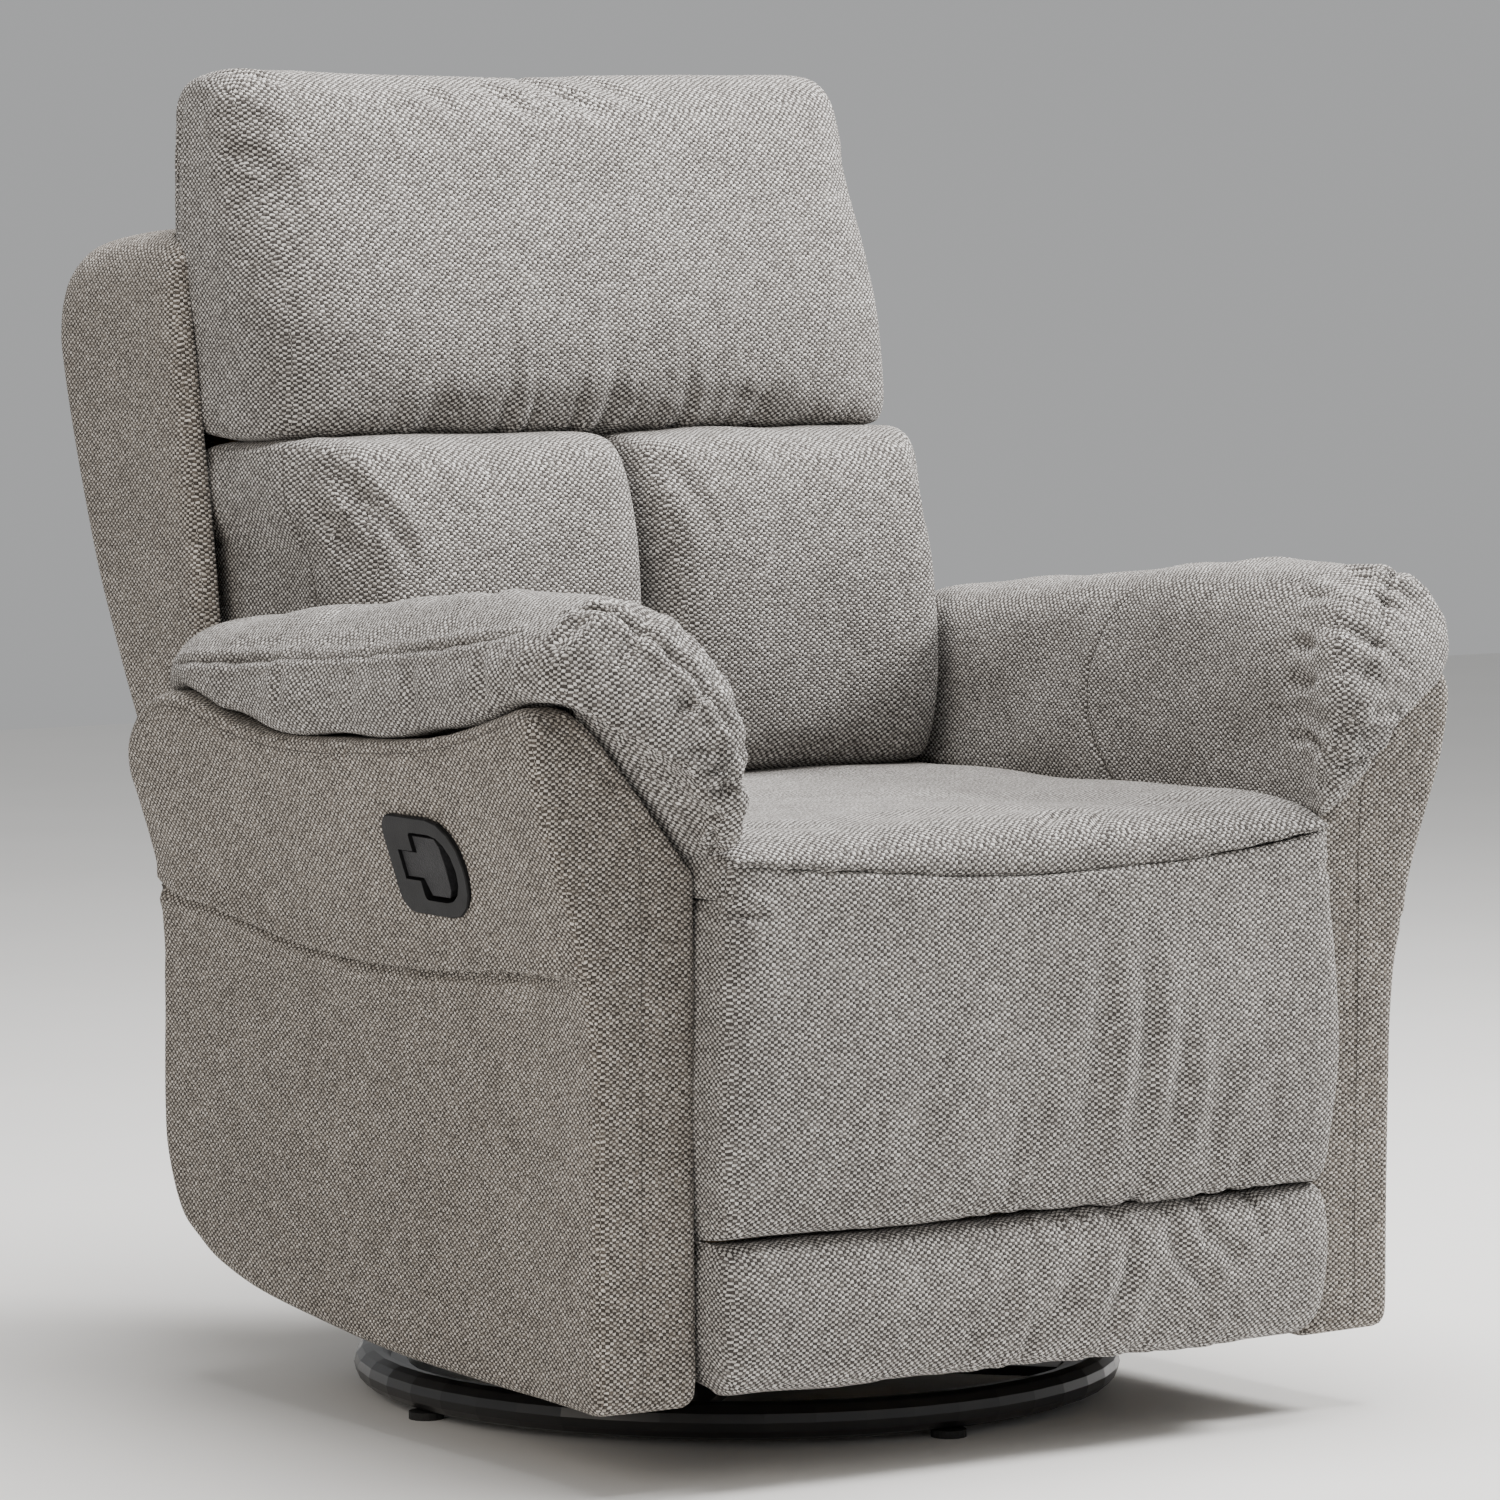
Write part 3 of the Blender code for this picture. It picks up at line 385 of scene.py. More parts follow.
def heatheredCloth(name, cloth):
    # coarse plain weave, light weft over dark warp, laid on whichever way each part of the cover faces
    recipe = Recipe(name)
    spot = recipe.add("ShaderNodeTexCoord", output=3)
    facing = recipe.add("ShaderNodeTexCoord", output=1)
    drift = recipe.add("ShaderNodeTexNoise", {"noise_dimensions": "3D"}, {"Vector": spot, "Scale": 150.0, "Detail": 1.0}, output=1)
    drift = recipe.add("ShaderNodeVectorMath", {"operation": "SUBTRACT"}, {0: drift, 1: (0.5, 0.5, 0.5)})
    drift = recipe.add("ShaderNodeVectorMath", {"operation": "SCALE"}, {0: drift, "Scale": cloth["wander"]})
    x, y, z = recipe.split(recipe.add("ShaderNodeVectorMath", {"operation": "ADD"}, {0: spot, 1: drift}))
    nx, ny, nz = [part.sum("ABSOLUTE") for part in recipe.split(facing)]
    isX = nx > ny.sum("MAXIMUM", nz)
    isZ = nz > nx.sum("MAXIMUM", ny)
    across = recipe.choose(isX, x, y) / cloth["acrossPitch"]
    upward = recipe.choose(isZ, z, y) / cloth["upPitch"]
    column, row = across.sum("FLOOR"), upward.sum("FLOOR")
    partU, partV = across.sum("FRACT"), upward.sum("FRACT")
    weft = (column + row).sum("FLOORED_MODULO", 2.0)
    side = recipe.choose(weft, partU, partV) * 2.0 - 1.0
    along = recipe.choose(weft, partV, partU) * 2.0 - 1.0
    hump = (1.0 - side.sum("ABSOLUTE") ** 2.2) * (1.0 - (along.sum("ABSOLUTE") ** 3.0) * 0.6)
    crossing = recipe.add("ShaderNodeTexWhiteNoise", {"noise_dimensions": "2D"}, {"Vector": recipe.join(column, row)})
    slub = recipe.noise(recipe.join(across * 0.10, upward * 0.85), 1.0, 2.0, 0.6)
    warpSlub = recipe.noise(recipe.join(across * 0.85 + 31.0, upward * 0.10), 1.0, 2.0, 0.6)
    patch = recipe.noise(spot, 26.0, 3.0, 0.6)
    broad = recipe.noise(spot, 5.0, 2.0, 0.5)
    fine = recipe.noise(spot, 1100.0, 2.0, 0.6)
    tone = (recipe.choose(weft, cloth["warpTone"], cloth["weftTone"]) + crossing * 0.30 + slub * 0.40 + warpSlub * 0.22
            + patch * 0.24 + broad * 0.12 + fine * 0.20 - 0.74)
    colour = recipe.add("ShaderNodeValToRGB", {"stops": cloth["yarns"]}, {0: tone})
    # painted shade: the colour darkens towards the gap shade colour where the yarns dip between their humps
    gapShade = recipe.tint((hump * 0.95 + 0.05) ** 0.6, cloth["gapShadeColour"], (1, 1, 1, 1))
    colour = recipe.tint(1.0, colour, gapShade, "MULTIPLY")
    height = hump * 0.85 + slub * 0.35 + fine * 0.25
    bump = recipe.add("ShaderNodeBump", None, {"Strength": cloth["relief"], "Distance": 0.0009, "Height": height})
    return recipe.finish({"Roughness": 0.93, "Sheen Weight": cloth["sheen"], "Sheen Roughness": 0.45, "Specular IOR Level": 0.25,
                          "Sheen Tint": (0.92, 0.90, 0.88, 1)}, {"Base Color": colour, "Normal": bump})


def blackPlastic(name, plastic):
    recipe = Recipe(name)
    spot = recipe.add("ShaderNodeTexCoord", output=3)
    grain = recipe.add("ShaderNodeTexVoronoi", {"feature": "F1"}, {"Vector": spot, "Scale": plastic["grain"]})
    pebble = recipe.noise(spot, plastic["grain"] * 0.8, 3.0)
    worn = recipe.noise(spot, 60.0, 3.0)
    colour = recipe.tint(pebble, plastic["dark"], plastic["light"])
    bump = recipe.add("ShaderNodeBump", None, {"Strength": plastic["relief"], "Distance": 0.0004, "Height": grain * 0.7 + pebble * 0.5})
    return recipe.finish({"Specular IOR Level": 0.14}, {"Base Color": colour, "Roughness": worn * 0.18 + plastic["roughness"],
                                                        "Normal": bump})


def enamel(name, paint):
    # stoved or gloss paint on steel, with a faint orange peel
    recipe = Recipe(name)
    spot = recipe.add("ShaderNodeTexCoord", output=3)
    peel = recipe.noise(spot, 240.0, 2.0)
    dust = recipe.noise(spot, 22.0, 5.0, 0.7)
    colour = recipe.tint(dust ** 3.0, paint["colour"], paint["dusty"])
    bump = recipe.add("ShaderNodeBump", None, {"Strength": 0.08, "Distance": 0.0006, "Height": peel})
    return recipe.finish({"Coat Weight": paint["coat"], "Coat Roughness": 0.08, "Metallic": 0.0},
                         {"Base Color": colour, "Roughness": dust * 0.16 + paint["roughness"], "Normal": bump})


def platedSteel(name):
    recipe = Recipe(name)
    spot = recipe.add("ShaderNodeTexCoord", output=3)
    x, y, z = recipe.split(spot)
    brushed = recipe.noise(recipe.join(x * 40.0, y * 40.0, z * 900.0), 1.0, 3.0)
    cloudy = recipe.noise(spot, 45.0, 4.0)
    colour = recipe.tint(cloudy, (0.42, 0.42, 0.43, 1), (0.60, 0.60, 0.59, 1))
    bump = recipe.add("ShaderNodeBump", None, {"Strength": 0.15, "Distance": 0.0003, "Height": brushed})
    return recipe.finish({"Metallic": 1.0}, {"Base Color": colour, "Roughness": brushed * 0.2 + cloudy * 0.15 + 0.22, "Normal": bump})


def plainWood(name):
    recipe = Recipe(name)
    spot = recipe.add("ShaderNodeTexCoord", output=3)
    x, y, z = recipe.split(spot)
    warped = recipe.noise(recipe.join(x * 3.0, y * 3.0, z * 14.0), 1.0, 4.0) * 1.6
    rings = recipe.add("ShaderNodeTexWave", {"wave_type": "BANDS", "bands_direction": "Z"},
                       {"Vector": recipe.join(x * 0.6, y * 0.6, z + warped * 0.02), "Scale": 34.0, "Distortion": 2.2, "Detail": 3.0})
    fleck = recipe.noise(recipe.join(x * 30.0, y * 30.0, z * 700.0), 1.0, 2.0)
    colour = recipe.tint(rings * 0.6 + fleck * 0.4, (0.40, 0.26, 0.13, 1), (0.66, 0.48, 0.28, 1))
    bump = recipe.add("ShaderNodeBump", None, {"Strength": 0.25, "Distance": 0.0005, "Height": fleck * 0.6 + rings * 0.3})
    return recipe.finish({"Specular IOR Level": 0.3}, {"Base Color": colour, "Roughness": fleck * 0.15 + 0.62, "Normal": bump})


greyYarns = [(0.0, (0.060, 0.053, 0.048)), (0.25, (0.160, 0.147, 0.136)), (0.50, (0.335, 0.316, 0.296)), (0.75, (0.560, 0.535, 0.505)),
             (1.0, (0.840, 0.815, 0.780))]
# darker, warmer copy of the grey yarns for the side, back and rear covers: painted shade and warm bounce light on the
# same cloth
shadedSideYarns = [(0.0, (0.055, 0.046, 0.038)), (0.25, (0.150, 0.129, 0.108)), (0.50, (0.325, 0.293, 0.255)), (0.75, (0.535, 0.492, 0.440)),
             (1.0, (0.790, 0.742, 0.680))]
threadYarns = [(0.0, (0.050, 0.044, 0.040)), (1.0, (0.240, 0.222, 0.205))]
weave = {"acrossPitch": 0.0029, "upPitch": 0.0022, "wander": 0.0034, "warpTone": 0.04, "weftTone": 0.80, "relief": 1.0, "sheen": 0.12,
         "gapShadeColour": (0.12, 0.11, 0.105, 1)}
seatCloth = heatheredCloth("heathered_cover", dict(weave, yarns=greyYarns))
# the same weave as heathered_cover with painted shade: darker, warmer yarns and a softer contrast for the faces out of
# the key light
shadedSideCloth = heatheredCloth("heathered_cover_shaded_side", dict(weave, yarns=shadedSideYarns, acrossPitch=0.0029, upPitch=0.0022, warpTone=0.06,
                                                         weftTone=0.76))
seamThread = heatheredCloth("seam_thread", dict(weave, yarns=threadYarns, acrossPitch=0.0007, upPitch=0.0007, wander=0.0002, relief=0.3))
bezelPlastic = blackPlastic("bezel_plastic", {"dark": (0.005, 0.005, 0.0055, 1), "light": (0.014, 0.014, 0.015, 1), "grain": 900.0,
                                              "relief": 0.25, "roughness": 0.34})
paddlePlastic = blackPlastic("paddle_plastic", {"dark": (0.007, 0.007, 0.0075, 1), "light": (0.040, 0.040, 0.043, 1), "grain": 700.0,
                                                "relief": 0.8, "roughness": 0.36})
glidePlastic = blackPlastic("glide_plastic", {"dark": (0.015, 0.015, 0.015, 1), "light": (0.04, 0.04, 0.04, 1), "grain": 500.0,
                                              "relief": 0.3, "roughness": 0.5})
ringPaint = enamel("ring_paint", {"colour": (0.006, 0.006, 0.007, 1), "dusty": (0.030, 0.026, 0.022, 1), "roughness": 0.30, "coat": 0.15})
framePaint = enamel("frame_enamel", {"colour": (0.014, 0.014, 0.016, 1), "dusty": (0.050, 0.048, 0.046, 1), "roughness": 0.38,
                                     "coat": 0.0})
linkSteel = platedSteel("plated_steel")
frameWood = plainWood("frame_wood")

paintedNodes = {"base_ring": ringPaint, "base_cross": ringPaint, "floor_glide": glidePlastic, "swivel_plate": framePaint,
                "glide_rail": framePaint,
                "glide_bracket": framePaint, "hanger_plate": framePaint, "side_plate": framePaint, "leg_rest_lug": framePaint,
                "back_bracket": framePaint,
                "swing_link": linkSteel, "leg_link": linkSteel, "seat_spring": linkSteel, "swivel_bolt": linkSteel,
                "ball_race": linkSteel, "release_latch": linkSteel,
                "seat_rail": frameWood, "back_upright": frameWood, "back_rail": frameWood, "leg_rest_board": frameWood}
for nodeName, body in nodes.items():
    for start, material in paintedNodes.items():
        if nodeName.startswith(start):
            body.data.materials.clear()
            body.data.materials.append(material)
print("materials ready")


def settle(body, rides, stands):
    # gives a finished piece its place in the model
    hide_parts(*stands)
    if isinstance(rides, str):
        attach(body, rides)
    return body


seams = {}                       # lines to be stitched: name of the body they ride on, then the lines


def addSeam(ridesOn, body, line):
    # lays a seam line on the finished cover
    tree = BVHTree.FromPolygons([tuple(p) for p in readPoints(body)], [tuple(f.vertices) for f in body.data.polygons])
    laid = []
    for place in line:
        found, facing, index, apart = tree.find_nearest(Vector(place))
        if found is not None:
            laid.append(np.array(found + facing * 0.0002))
    seams.setdefault(ridesOn, []).append(np.array(laid))


# ------------------------------------------------ back: head pillow, two lumbar pillows and the shell

headPillow = {"name": "head_pillow_cover", "around": 190, "along": 190, "across": (-0.3028, 0.3028), "ends": (10.0, 10.0),
              "anchor": (0.306, 0.800), "tall": 0.20,
              "profile": [(0.158, 0.7605), (0.1415, 0.770), (0.1375, 0.795), (0.144, 0.850), (0.163, 0.905), (0.187, 0.960),
                          (0.212, 1.015), (0.230, 1.042),
                          (0.254, 1.0565), (0.284, 1.0590), (0.309, 1.0500), (0.3200, 1.025), (0.3200, 0.960), (0.3180, 0.870),
                          (0.308, 0.800), (0.296, 0.768), (0.262, 0.7600), (0.205, 0.7590)]}
body = pillowForm(headPillow, seatCloth)
places = readPoints(body)
reachOut = np.abs(places[:, 0]) / 0.3025
# the top edge sags a little between its corners
places[:, 2] -= 0.0085 * unit(1 - reachOut**2.2) * unit((places[:, 2] - 0.93) / 0.12)
places[:, 1] -= 0.012 * unit(1 - reachOut**2.5) * unit((0.30 - places[:, 1]) / 0.1)      # and the front is fuller in the middle
writePoints(body, places)
inflate(body, 2.2, 0.006)
hemLine = smoothLine([(-0.30, 0.150, 0.768), (-0.20, 0.132, 0.766), (0.0, 0.122, 0.763), (0.18, 0.134, 0.766), (0.29, 0.152, 0.770)], 160)
gather(body, hemLine, 0.0095, 0.050, 0.036, 11, only=lambda p: unit((0.24 - p[:, 1]) / 0.04)
       * (0.22 + 0.78 * np.exp(-((p[:, 0] + 0.03) / 0.16) ** 2)))
for points, depth, width in (
        ([(-0.060, 0.250, 1.050), (-0.040, 0.226, 1.034), (-0.005, 0.200, 0.990)], 0.0045, 0.008),
        ([(-0.015, 0.262, 1.054), (0.020, 0.228, 1.036), (0.060, 0.206, 0.996)], 0.0040, 0.009),
        ([(0.040, 0.262, 1.054), (0.075, 0.230, 1.036), (0.105, 0.210, 1.004)], 0.0026, 0.009),
        ([(-0.120, 0.250, 1.052), (-0.110, 0.226, 1.030), (-0.085, 0.205, 0.995)], 0.0034, 0.010),
        ([(-0.302, 0.270, 1.030), (-0.275, 0.238, 1.030), (-0.240, 0.218, 1.018)], 0.0080, 0.0065),
        ([(-0.296, 0.285, 1.050), (-0.268, 0.252, 1.050), (-0.235, 0.238, 1.042)], 0.0050, 0.0060),
        ([(-0.303, 0.262, 1.000), (-0.292, 0.225, 0.990), (-0.270, 0.200, 0.978)], 0.0040, 0.0070),
        ([(-0.303, 0.300, 1.040), (-0.304, 0.300, 0.980), (-0.304, 0.298, 0.900)], 0.0030, 0.0050),
        ([(0.03, 0.150, 0.800), (0.05, 0.136, 0.780), (0.07, 0.138, 0.768)], 0.0045, 0.006)):
    fold(body, points, depth, width)
swell(body, 0.0014, 0.16, 21)
settle(body, "back", ["head_pillow"])
print("head pillow", len(body.data.polygons))

lumbarPillow = {"around": 190, "along": 150, "anchor": (0.293, 0.640), "tall": 0.20,
                "profile": [(0.078, 0.4815), (0.050, 0.492), (0.036, 0.535), (0.034, 0.600), (0.045, 0.665), (0.066, 0.720),
                            (0.088, 0.750), (0.118, 0.7600),
                            (0.160, 0.7590), (0.220, 0.7580), (0.262, 0.7560), (0.283, 0.742), (0.276, 0.700), (0.258, 0.640),
                            (0.236, 0.570), (0.214, 0.505), (0.200, 0.4820), (0.130, 0.4805)]}
for side, way in (("left", 1), ("right", -1)):
    inner, outer = way * 0.0008, way * 0.2866
    lumbarPillow["name"] = "lumbar_pillow_%s_cover" % side
    lumbarPillow["across"] = (min(inner, outer), max(inner, outer))
    lumbarPillow["ends"] = (8.0, 9.0) if way > 0 else (9.0, 8.0)
    body = pillowForm(lumbarPillow, seatCloth)
    places = readPoints(body)
    wider = unit((places[:, 2] - 0.672) / 0.035) * unit(way * places[:, 0] / 0.286) ** 3 * unit((places[:, 1] - 0.075) / 0.08)
    places[:, 1] = np.minimum(places[:, 1], 0.213 + (places[:, 2] - 0.370) * 0.33)
    places[:, 0] += way * 0.0150 * wider                      # above the arms its gusset spreads into the wings of the shell
    writePoints(body, places)
    inflate(body, 1.4, 0.004)
    if side == "right":
        for points, depth, width in (
                ([(-0.286, 0.160, 0.752), (-0.262, 0.118, 0.744), (-0.225, 0.092, 0.742)], 0.0060, 0.0065),
                ([(-0.282, 0.112, 0.748), (-0.270, 0.084, 0.722), (-0.250, 0.062, 0.690), (-0.238, 0.048, 0.655)], 0.0070, 0.0085),
                ([(-0.286, 0.130, 0.725), (-0.284, 0.100, 0.700), (-0.276, 0.076, 0.670)], 0.0040, 0.0070),
                ([(-0.215, 0.120, 0.757), (-0.205, 0.088, 0.740), (-0.195, 0.066, 0.705)], 0.0028, 0.0090),
                ([(-0.040, 0.110, 0.757), (-0.050, 0.082, 0.742), (-0.065, 0.066, 0.718)], 0.0022, 0.0090)):
            fold(body, points, depth, width)
        gusset = smoothLine([(-0.290, 0.150, 0.756), (-0.296, 0.140, 0.710), (-0.291, 0.118, 0.650), (-0.286, 0.105, 0.560)], 60)
        groove(body, gusset, 0.0022, 0.0030)
    else:
        for points, depth, width in (
                ([(0.262, 0.110, 0.752), (0.272, 0.086, 0.722), (0.280, 0.070, 0.684)], 0.0030, 0.010),
                ([(0.018, 0.100, 0.750), (0.034, 0.068, 0.722), (0.052, 0.050, 0.678)], 0.0030, 0.010),
                ([(0.120, 0.115, 0.757), (0.128, 0.085, 0.740), (0.140, 0.066, 0.712)], 0.0018, 0.012)):
            fold(body, points, depth, width)
        gusset = smoothLine([(0.290, 0.150, 0.756), (0.296, 0.140, 0.710), (0.291, 0.118, 0.650), (0.286, 0.105, 0.560)], 60)
        groove(body, gusset, 0.0018, 0.0030)
    swell(body, 0.0014, 0.13, 31 if side == "left" else 35)
    addSeam("back", body, gusset)
    settle(body, "back", ["lumbar_pillow_" + side])
    print("lumbar pillow", side, len(body.data.polygons))

backShell = {"name": "back_shell_cover", "around": 300, "along": 190, "across": (-0.325, 0.325), "ends": (16.0, 16.0),
             "profile": [(0.2775, 0.885), (0.2640, 0.810), (0.2430, 0.690), (0.2290, 0.600), (0.2245, 0.550), (0.2290, 0.490),
                         (0.2400, 0.440), (0.2420, 0.400), (0.2440, 0.380), (0.2520, 0.3735),
                         (0.2640, 0.382), (0.2900, 0.418), (0.3180, 0.463), (0.3580, 0.530), (0.3920, 0.592), (0.4230, 0.655),
                         (0.4570, 0.750), (0.4830, 0.838), (0.4870, 0.868),
                         (0.4800, 0.893), (0.4640, 0.909), (0.4380, 0.920), (0.3830, 0.927), (0.3300, 0.929), (0.2980, 0.927),
                         (0.2830, 0.917)]}
body = pillowForm(backShell, shadedSideCloth)
places = readPoints(body)
inside = unit((0.3045 - np.abs(places[:, 0])) / 0.003)
floorY = 0.200 + (places[:, 2] - 0.370) * 0.33 + 0.0170
lowered = np.where(places[:, 2] > 0.8875, 0.3235, floorY)
front = (places[:, 1] < lowered) & (places[:, 2] > 0.392)
places[:, 1] = np.where(front, places[:, 1] + (lowered - places[:, 1]) * inside, places[:, 1])
writePoints(body, places)
swell(body, 0.0010, 0.2, 41)
settle(body, "back", ["back_shell"])
print("back shell", len(body.data.polygons))

# ------------------------------------------------ seat: cushion, front cover and foot pad of the leg rest, rear panel

smile = {"x": [-0.290, -0.250, -0.200, -0.147, -0.074, 0.010, 0.105, 0.202, 0.251, 0.290],
         "z": [0.4690, 0.4665, 0.4610, 0.4560, 0.4490, 0.4460, 0.4485, 0.4570, 0.4635, 0.4690]}


def wrapBoard(places):
    # the ends of a pad turn back round the ends of the board it is stapled to
    back = unit((np.abs(places[:, 0]) - 0.2735) / 0.0020) * unit((places[:, 1] + 0.4340) / 0.0050)
    return places[:, 1] + 0.0150 * back


def smileHeight(x):
    return keyed(smile["x"], smile["z"], x)


seatCushion = {"name": "seat_cushion_cover", "around": 320, "along": 170, "across": (-0.2845, 0.2845), "ends": (60.0, 60.0),
               "anchor": (-0.150, 0.430), "tall": 0.6,
               "profile": [(-0.415, 0.4430), (-0.450, 0.4425), (-0.466, 0.4440), (-0.4735, 0.4530), (-0.4715, 0.4650), (-0.4620, 0.4755),
                           (-0.4450, 0.4830), (-0.4150, 0.4865), (-0.3700, 0.4870), (-0.2600, 0.4850),
                           (-0.0500, 0.4810), (0.0800, 0.4790), (0.1330, 0.4770), (0.1480, 0.4640), (0.1490, 0.4250), (0.1420, 0.4070),
                           (0.1000, 0.4030), (-0.3800, 0.4030), (-0.4050, 0.4070), (-0.4090, 0.4250)]}
body = pillowForm(seatCushion, seatCloth)
inflate(body, 1.2, 0.004)
places = readPoints(body)
# below the front seam the nose is drawn back, so that the leg rest's cover lies flush with it
places[:, 2] -= 0.0070 * unit((np.abs(places[:, 0]) - 0.258) / 0.0265) ** 2 * unit((places[:, 2] - 0.470) / 0.010)
below = unit((smileHeight(places[:, 0]) + 0.0010 - places[:, 2]) / 0.0035) * unit((-0.430 - places[:, 1]) / 0.01)
places[:, 1] += below * np.clip(-0.4590 - places[:, 1], 0, 0.02)
writePoints(body, places)
noseLine = np.column_stack([np.linspace(-0.274, 0.274, 160), np.full(160, -0.4720),
                            smileHeight(np.linspace(-0.274, 0.274, 160)) + 0.0020])
for points, depth, width in (
        ([(0.000, -0.466, 0.474), (0.035, -0.440, 0.485), (0.085, -0.425, 0.487)], 0.0042, 0.0060),
        ([(0.052, -0.470, 0.468), (0.070, -0.450, 0.482), (0.095, -0.432, 0.486)], 0.0034, 0.0055),
        ([(-0.15, -0.420, 0.487), (-0.05, -0.398, 0.487), (0.06, -0.405, 0.487)], 0.0025, 0.016),
        ([(0.12, -0.430, 0.486), (0.19, -0.400, 0.487), (0.26, -0.385, 0.486)], 0.0035, 0.014),
        ([(-0.27, -0.380, 0.486), (-0.22, -0.405, 0.487), (-0.15, -0.425, 0.486)], 0.0026, 0.014)):
    fold(body, points, depth, width)
swell(body, 0.0014, 0.15, 51)
settle(body, "carriage", ["seat_cushion"])
addSeam("carriage", body, noseLine)
print("seat cushion", len(body.data.polygons))

# the leg rest's cover comes up as one flap to the seat's front seam, and folds there
frontCover = {"name": "leg_rest_front_cover", "around": 300, "along": 200, "across": (-0.2845, 0.2845), "ends": (10.0, 10.0),
              "anchor": (-0.4285, 0.1885), "tall": 0.03,
              "edgeZ": [0.186, 0.200, 0.235, 0.285, 0.348, 0.405, 0.428, 0.4380, 0.450, 0.472],
              "edgeX": [0.2815, 0.2835, 0.2860, 0.2895, 0.2870, 0.2840, 0.2825, 0.2805, 0.2825, 0.2825],
              "profile": [(-0.4300, 0.1890), (-0.4480, 0.1875), (-0.4620, 0.1905), (-0.4715, 0.2020), (-0.4760, 0.2250),
                          (-0.4795, 0.2650), (-0.4805, 0.3200), (-0.4790, 0.3750), (-0.4765, 0.4150), (-0.4745, 0.4350),
                          (-0.4715, 0.4450), (-0.4665, 0.4462), (-0.4630, 0.4420), (-0.4605, 0.4375), (-0.4500, 0.4340),
                          (-0.4340, 0.4335), (-0.4287, 0.4290), (-0.4285, 0.4000), (-0.4285, 0.3000), (-0.4285, 0.2100)]}
body = pillowForm(frontCover, seatCloth)
places = readPoints(body)
rise = unit((places[:, 2] - 0.405) / 0.040)
lifted = (smileHeight(places[:, 0]) - 0.4460) * rise * unit((-0.4550 - places[:, 1]) / 0.006)
places[:, 0] *= keyed(frontCover["edgeZ"], frontCover["edgeX"], places[:, 2]) / 0.2836
places[:, 2] += lifted
places[:, 1] = wrapBoard(places)
writePoints(body, places)
creaseLine = smoothLine([(-0.275, -0.462, 0.190), (-0.1, -0.466, 0.189), (0.1, -0.466, 0.189), (0.275, -0.462, 0.190)], 120)
gather(body, creaseLine, 0.0048, 0.085, 0.036, 61, only=lambda p: unit((-0.445 - p[:, 1]) / 0.01)
       * (0.16 + 0.84 * np.exp(-((p[:, 0] - 0.10) / 0.13) ** 2)))
for points, depth, width in (
        ([(0.058, -0.478, 0.410), (0.050, -0.480, 0.320), (0.030, -0.478, 0.210)], 0.0036, 0.0120),
        ([(0.092, -0.478, 0.395), (0.094, -0.480, 0.300), (0.078, -0.478, 0.200)], 0.0042, 0.0105),
        ([(0.130, -0.478, 0.350), (0.126, -0.480, 0.280), (0.112, -0.478, 0.205)], 0.0034, 0.0100),
        ([(0.170, -0.478, 0.320), (0.168, -0.480, 0.270), (0.150, -0.478, 0.210)], 0.0024, 0.0120),
        ([(-0.10, -0.478, 0.330), (-0.115, -0.480, 0.270), (-0.12, -0.478, 0.220)], 0.0022, 0.018),
        ([(-0.02, -0.478, 0.300), (-0.025, -0.480, 0.250), (-0.035, -0.478, 0.215)], 0.0022, 0.016),
        ([(-0.286, -0.462, 0.437), (-0.270, -0.474, 0.434), (-0.250, -0.476, 0.431)], 0.0060, 0.005),
        ([(0.286, -0.462, 0.437), (0.272, -0.474, 0.435), (0.256, -0.476, 0.432)], 0.0050, 0.005)):
    fold(body, points, depth, width)
swell(body, 0.0016, 0.14, 63)
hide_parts("leg_rest_pad_upper")
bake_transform(body)
print("front cover", len(body.data.polygons))

footPad = {"name": "leg_rest_foot_cover", "around": 200, "along": 190, "across": (-0.2845, 0.2845), "ends": (9.0, 9.0),
           "anchor": (-0.4285, 0.1858), "tall": 0.07,
           "edgeZ": [0.0660, 0.0740, 0.0860, 0.1060, 0.1400, 0.1650, 0.1790, 0.1860],
           "edgeX": [0.2640, 0.2720, 0.2780, 0.2820, 0.2840, 0.2840, 0.2830, 0.2815],
           "profile": [(-0.4300, 0.0700), (-0.4450, 0.0690), (-0.4590, 0.0740), (-0.4700, 0.0880), (-0.4755, 0.1080), (-0.4775, 0.1350),
                       (-0.4745, 0.1600), (-0.4680, 0.1770), (-0.4560, 0.1850), (-0.4400, 0.1860),
                       (-0.4287, 0.1830), (-0.4285, 0.1500), (-0.4285, 0.1000)]}
body = pillowForm(footPad, seatCloth)
places = readPoints(body)
places[:, 0] *= keyed(footPad["edgeZ"], footPad["edgeX"], places[:, 2]) / 0.2836
places[:, 1] = wrapBoard(places)
writePoints(body, places)
lowLine = smoothLine([(-0.26, -0.458, 0.073), (0.0, -0.460, 0.072), (0.26, -0.458, 0.073)], 120)
topLine = smoothLine([(-0.27, -0.462, 0.183), (0.0, -0.464, 0.183), (0.27, -0.462, 0.183)], 120)
gather(body, topLine, 0.0070, 0.045, 0.032, 71, only=lambda p: unit((-0.445 - p[:, 1]) / 0.01)
       * (0.22 + 0.78 * np.exp(-((p[:, 0] - 0.11) / 0.12) ** 2)))
gather(body, lowLine, 0.0055, 0.040, 0.032, 75, only=lambda p: unit((-0.445 - p[:, 1]) / 0.01)
       * (0.25 + 0.75 * np.exp(-((p[:, 0] - 0.05) / 0.14) ** 2)))
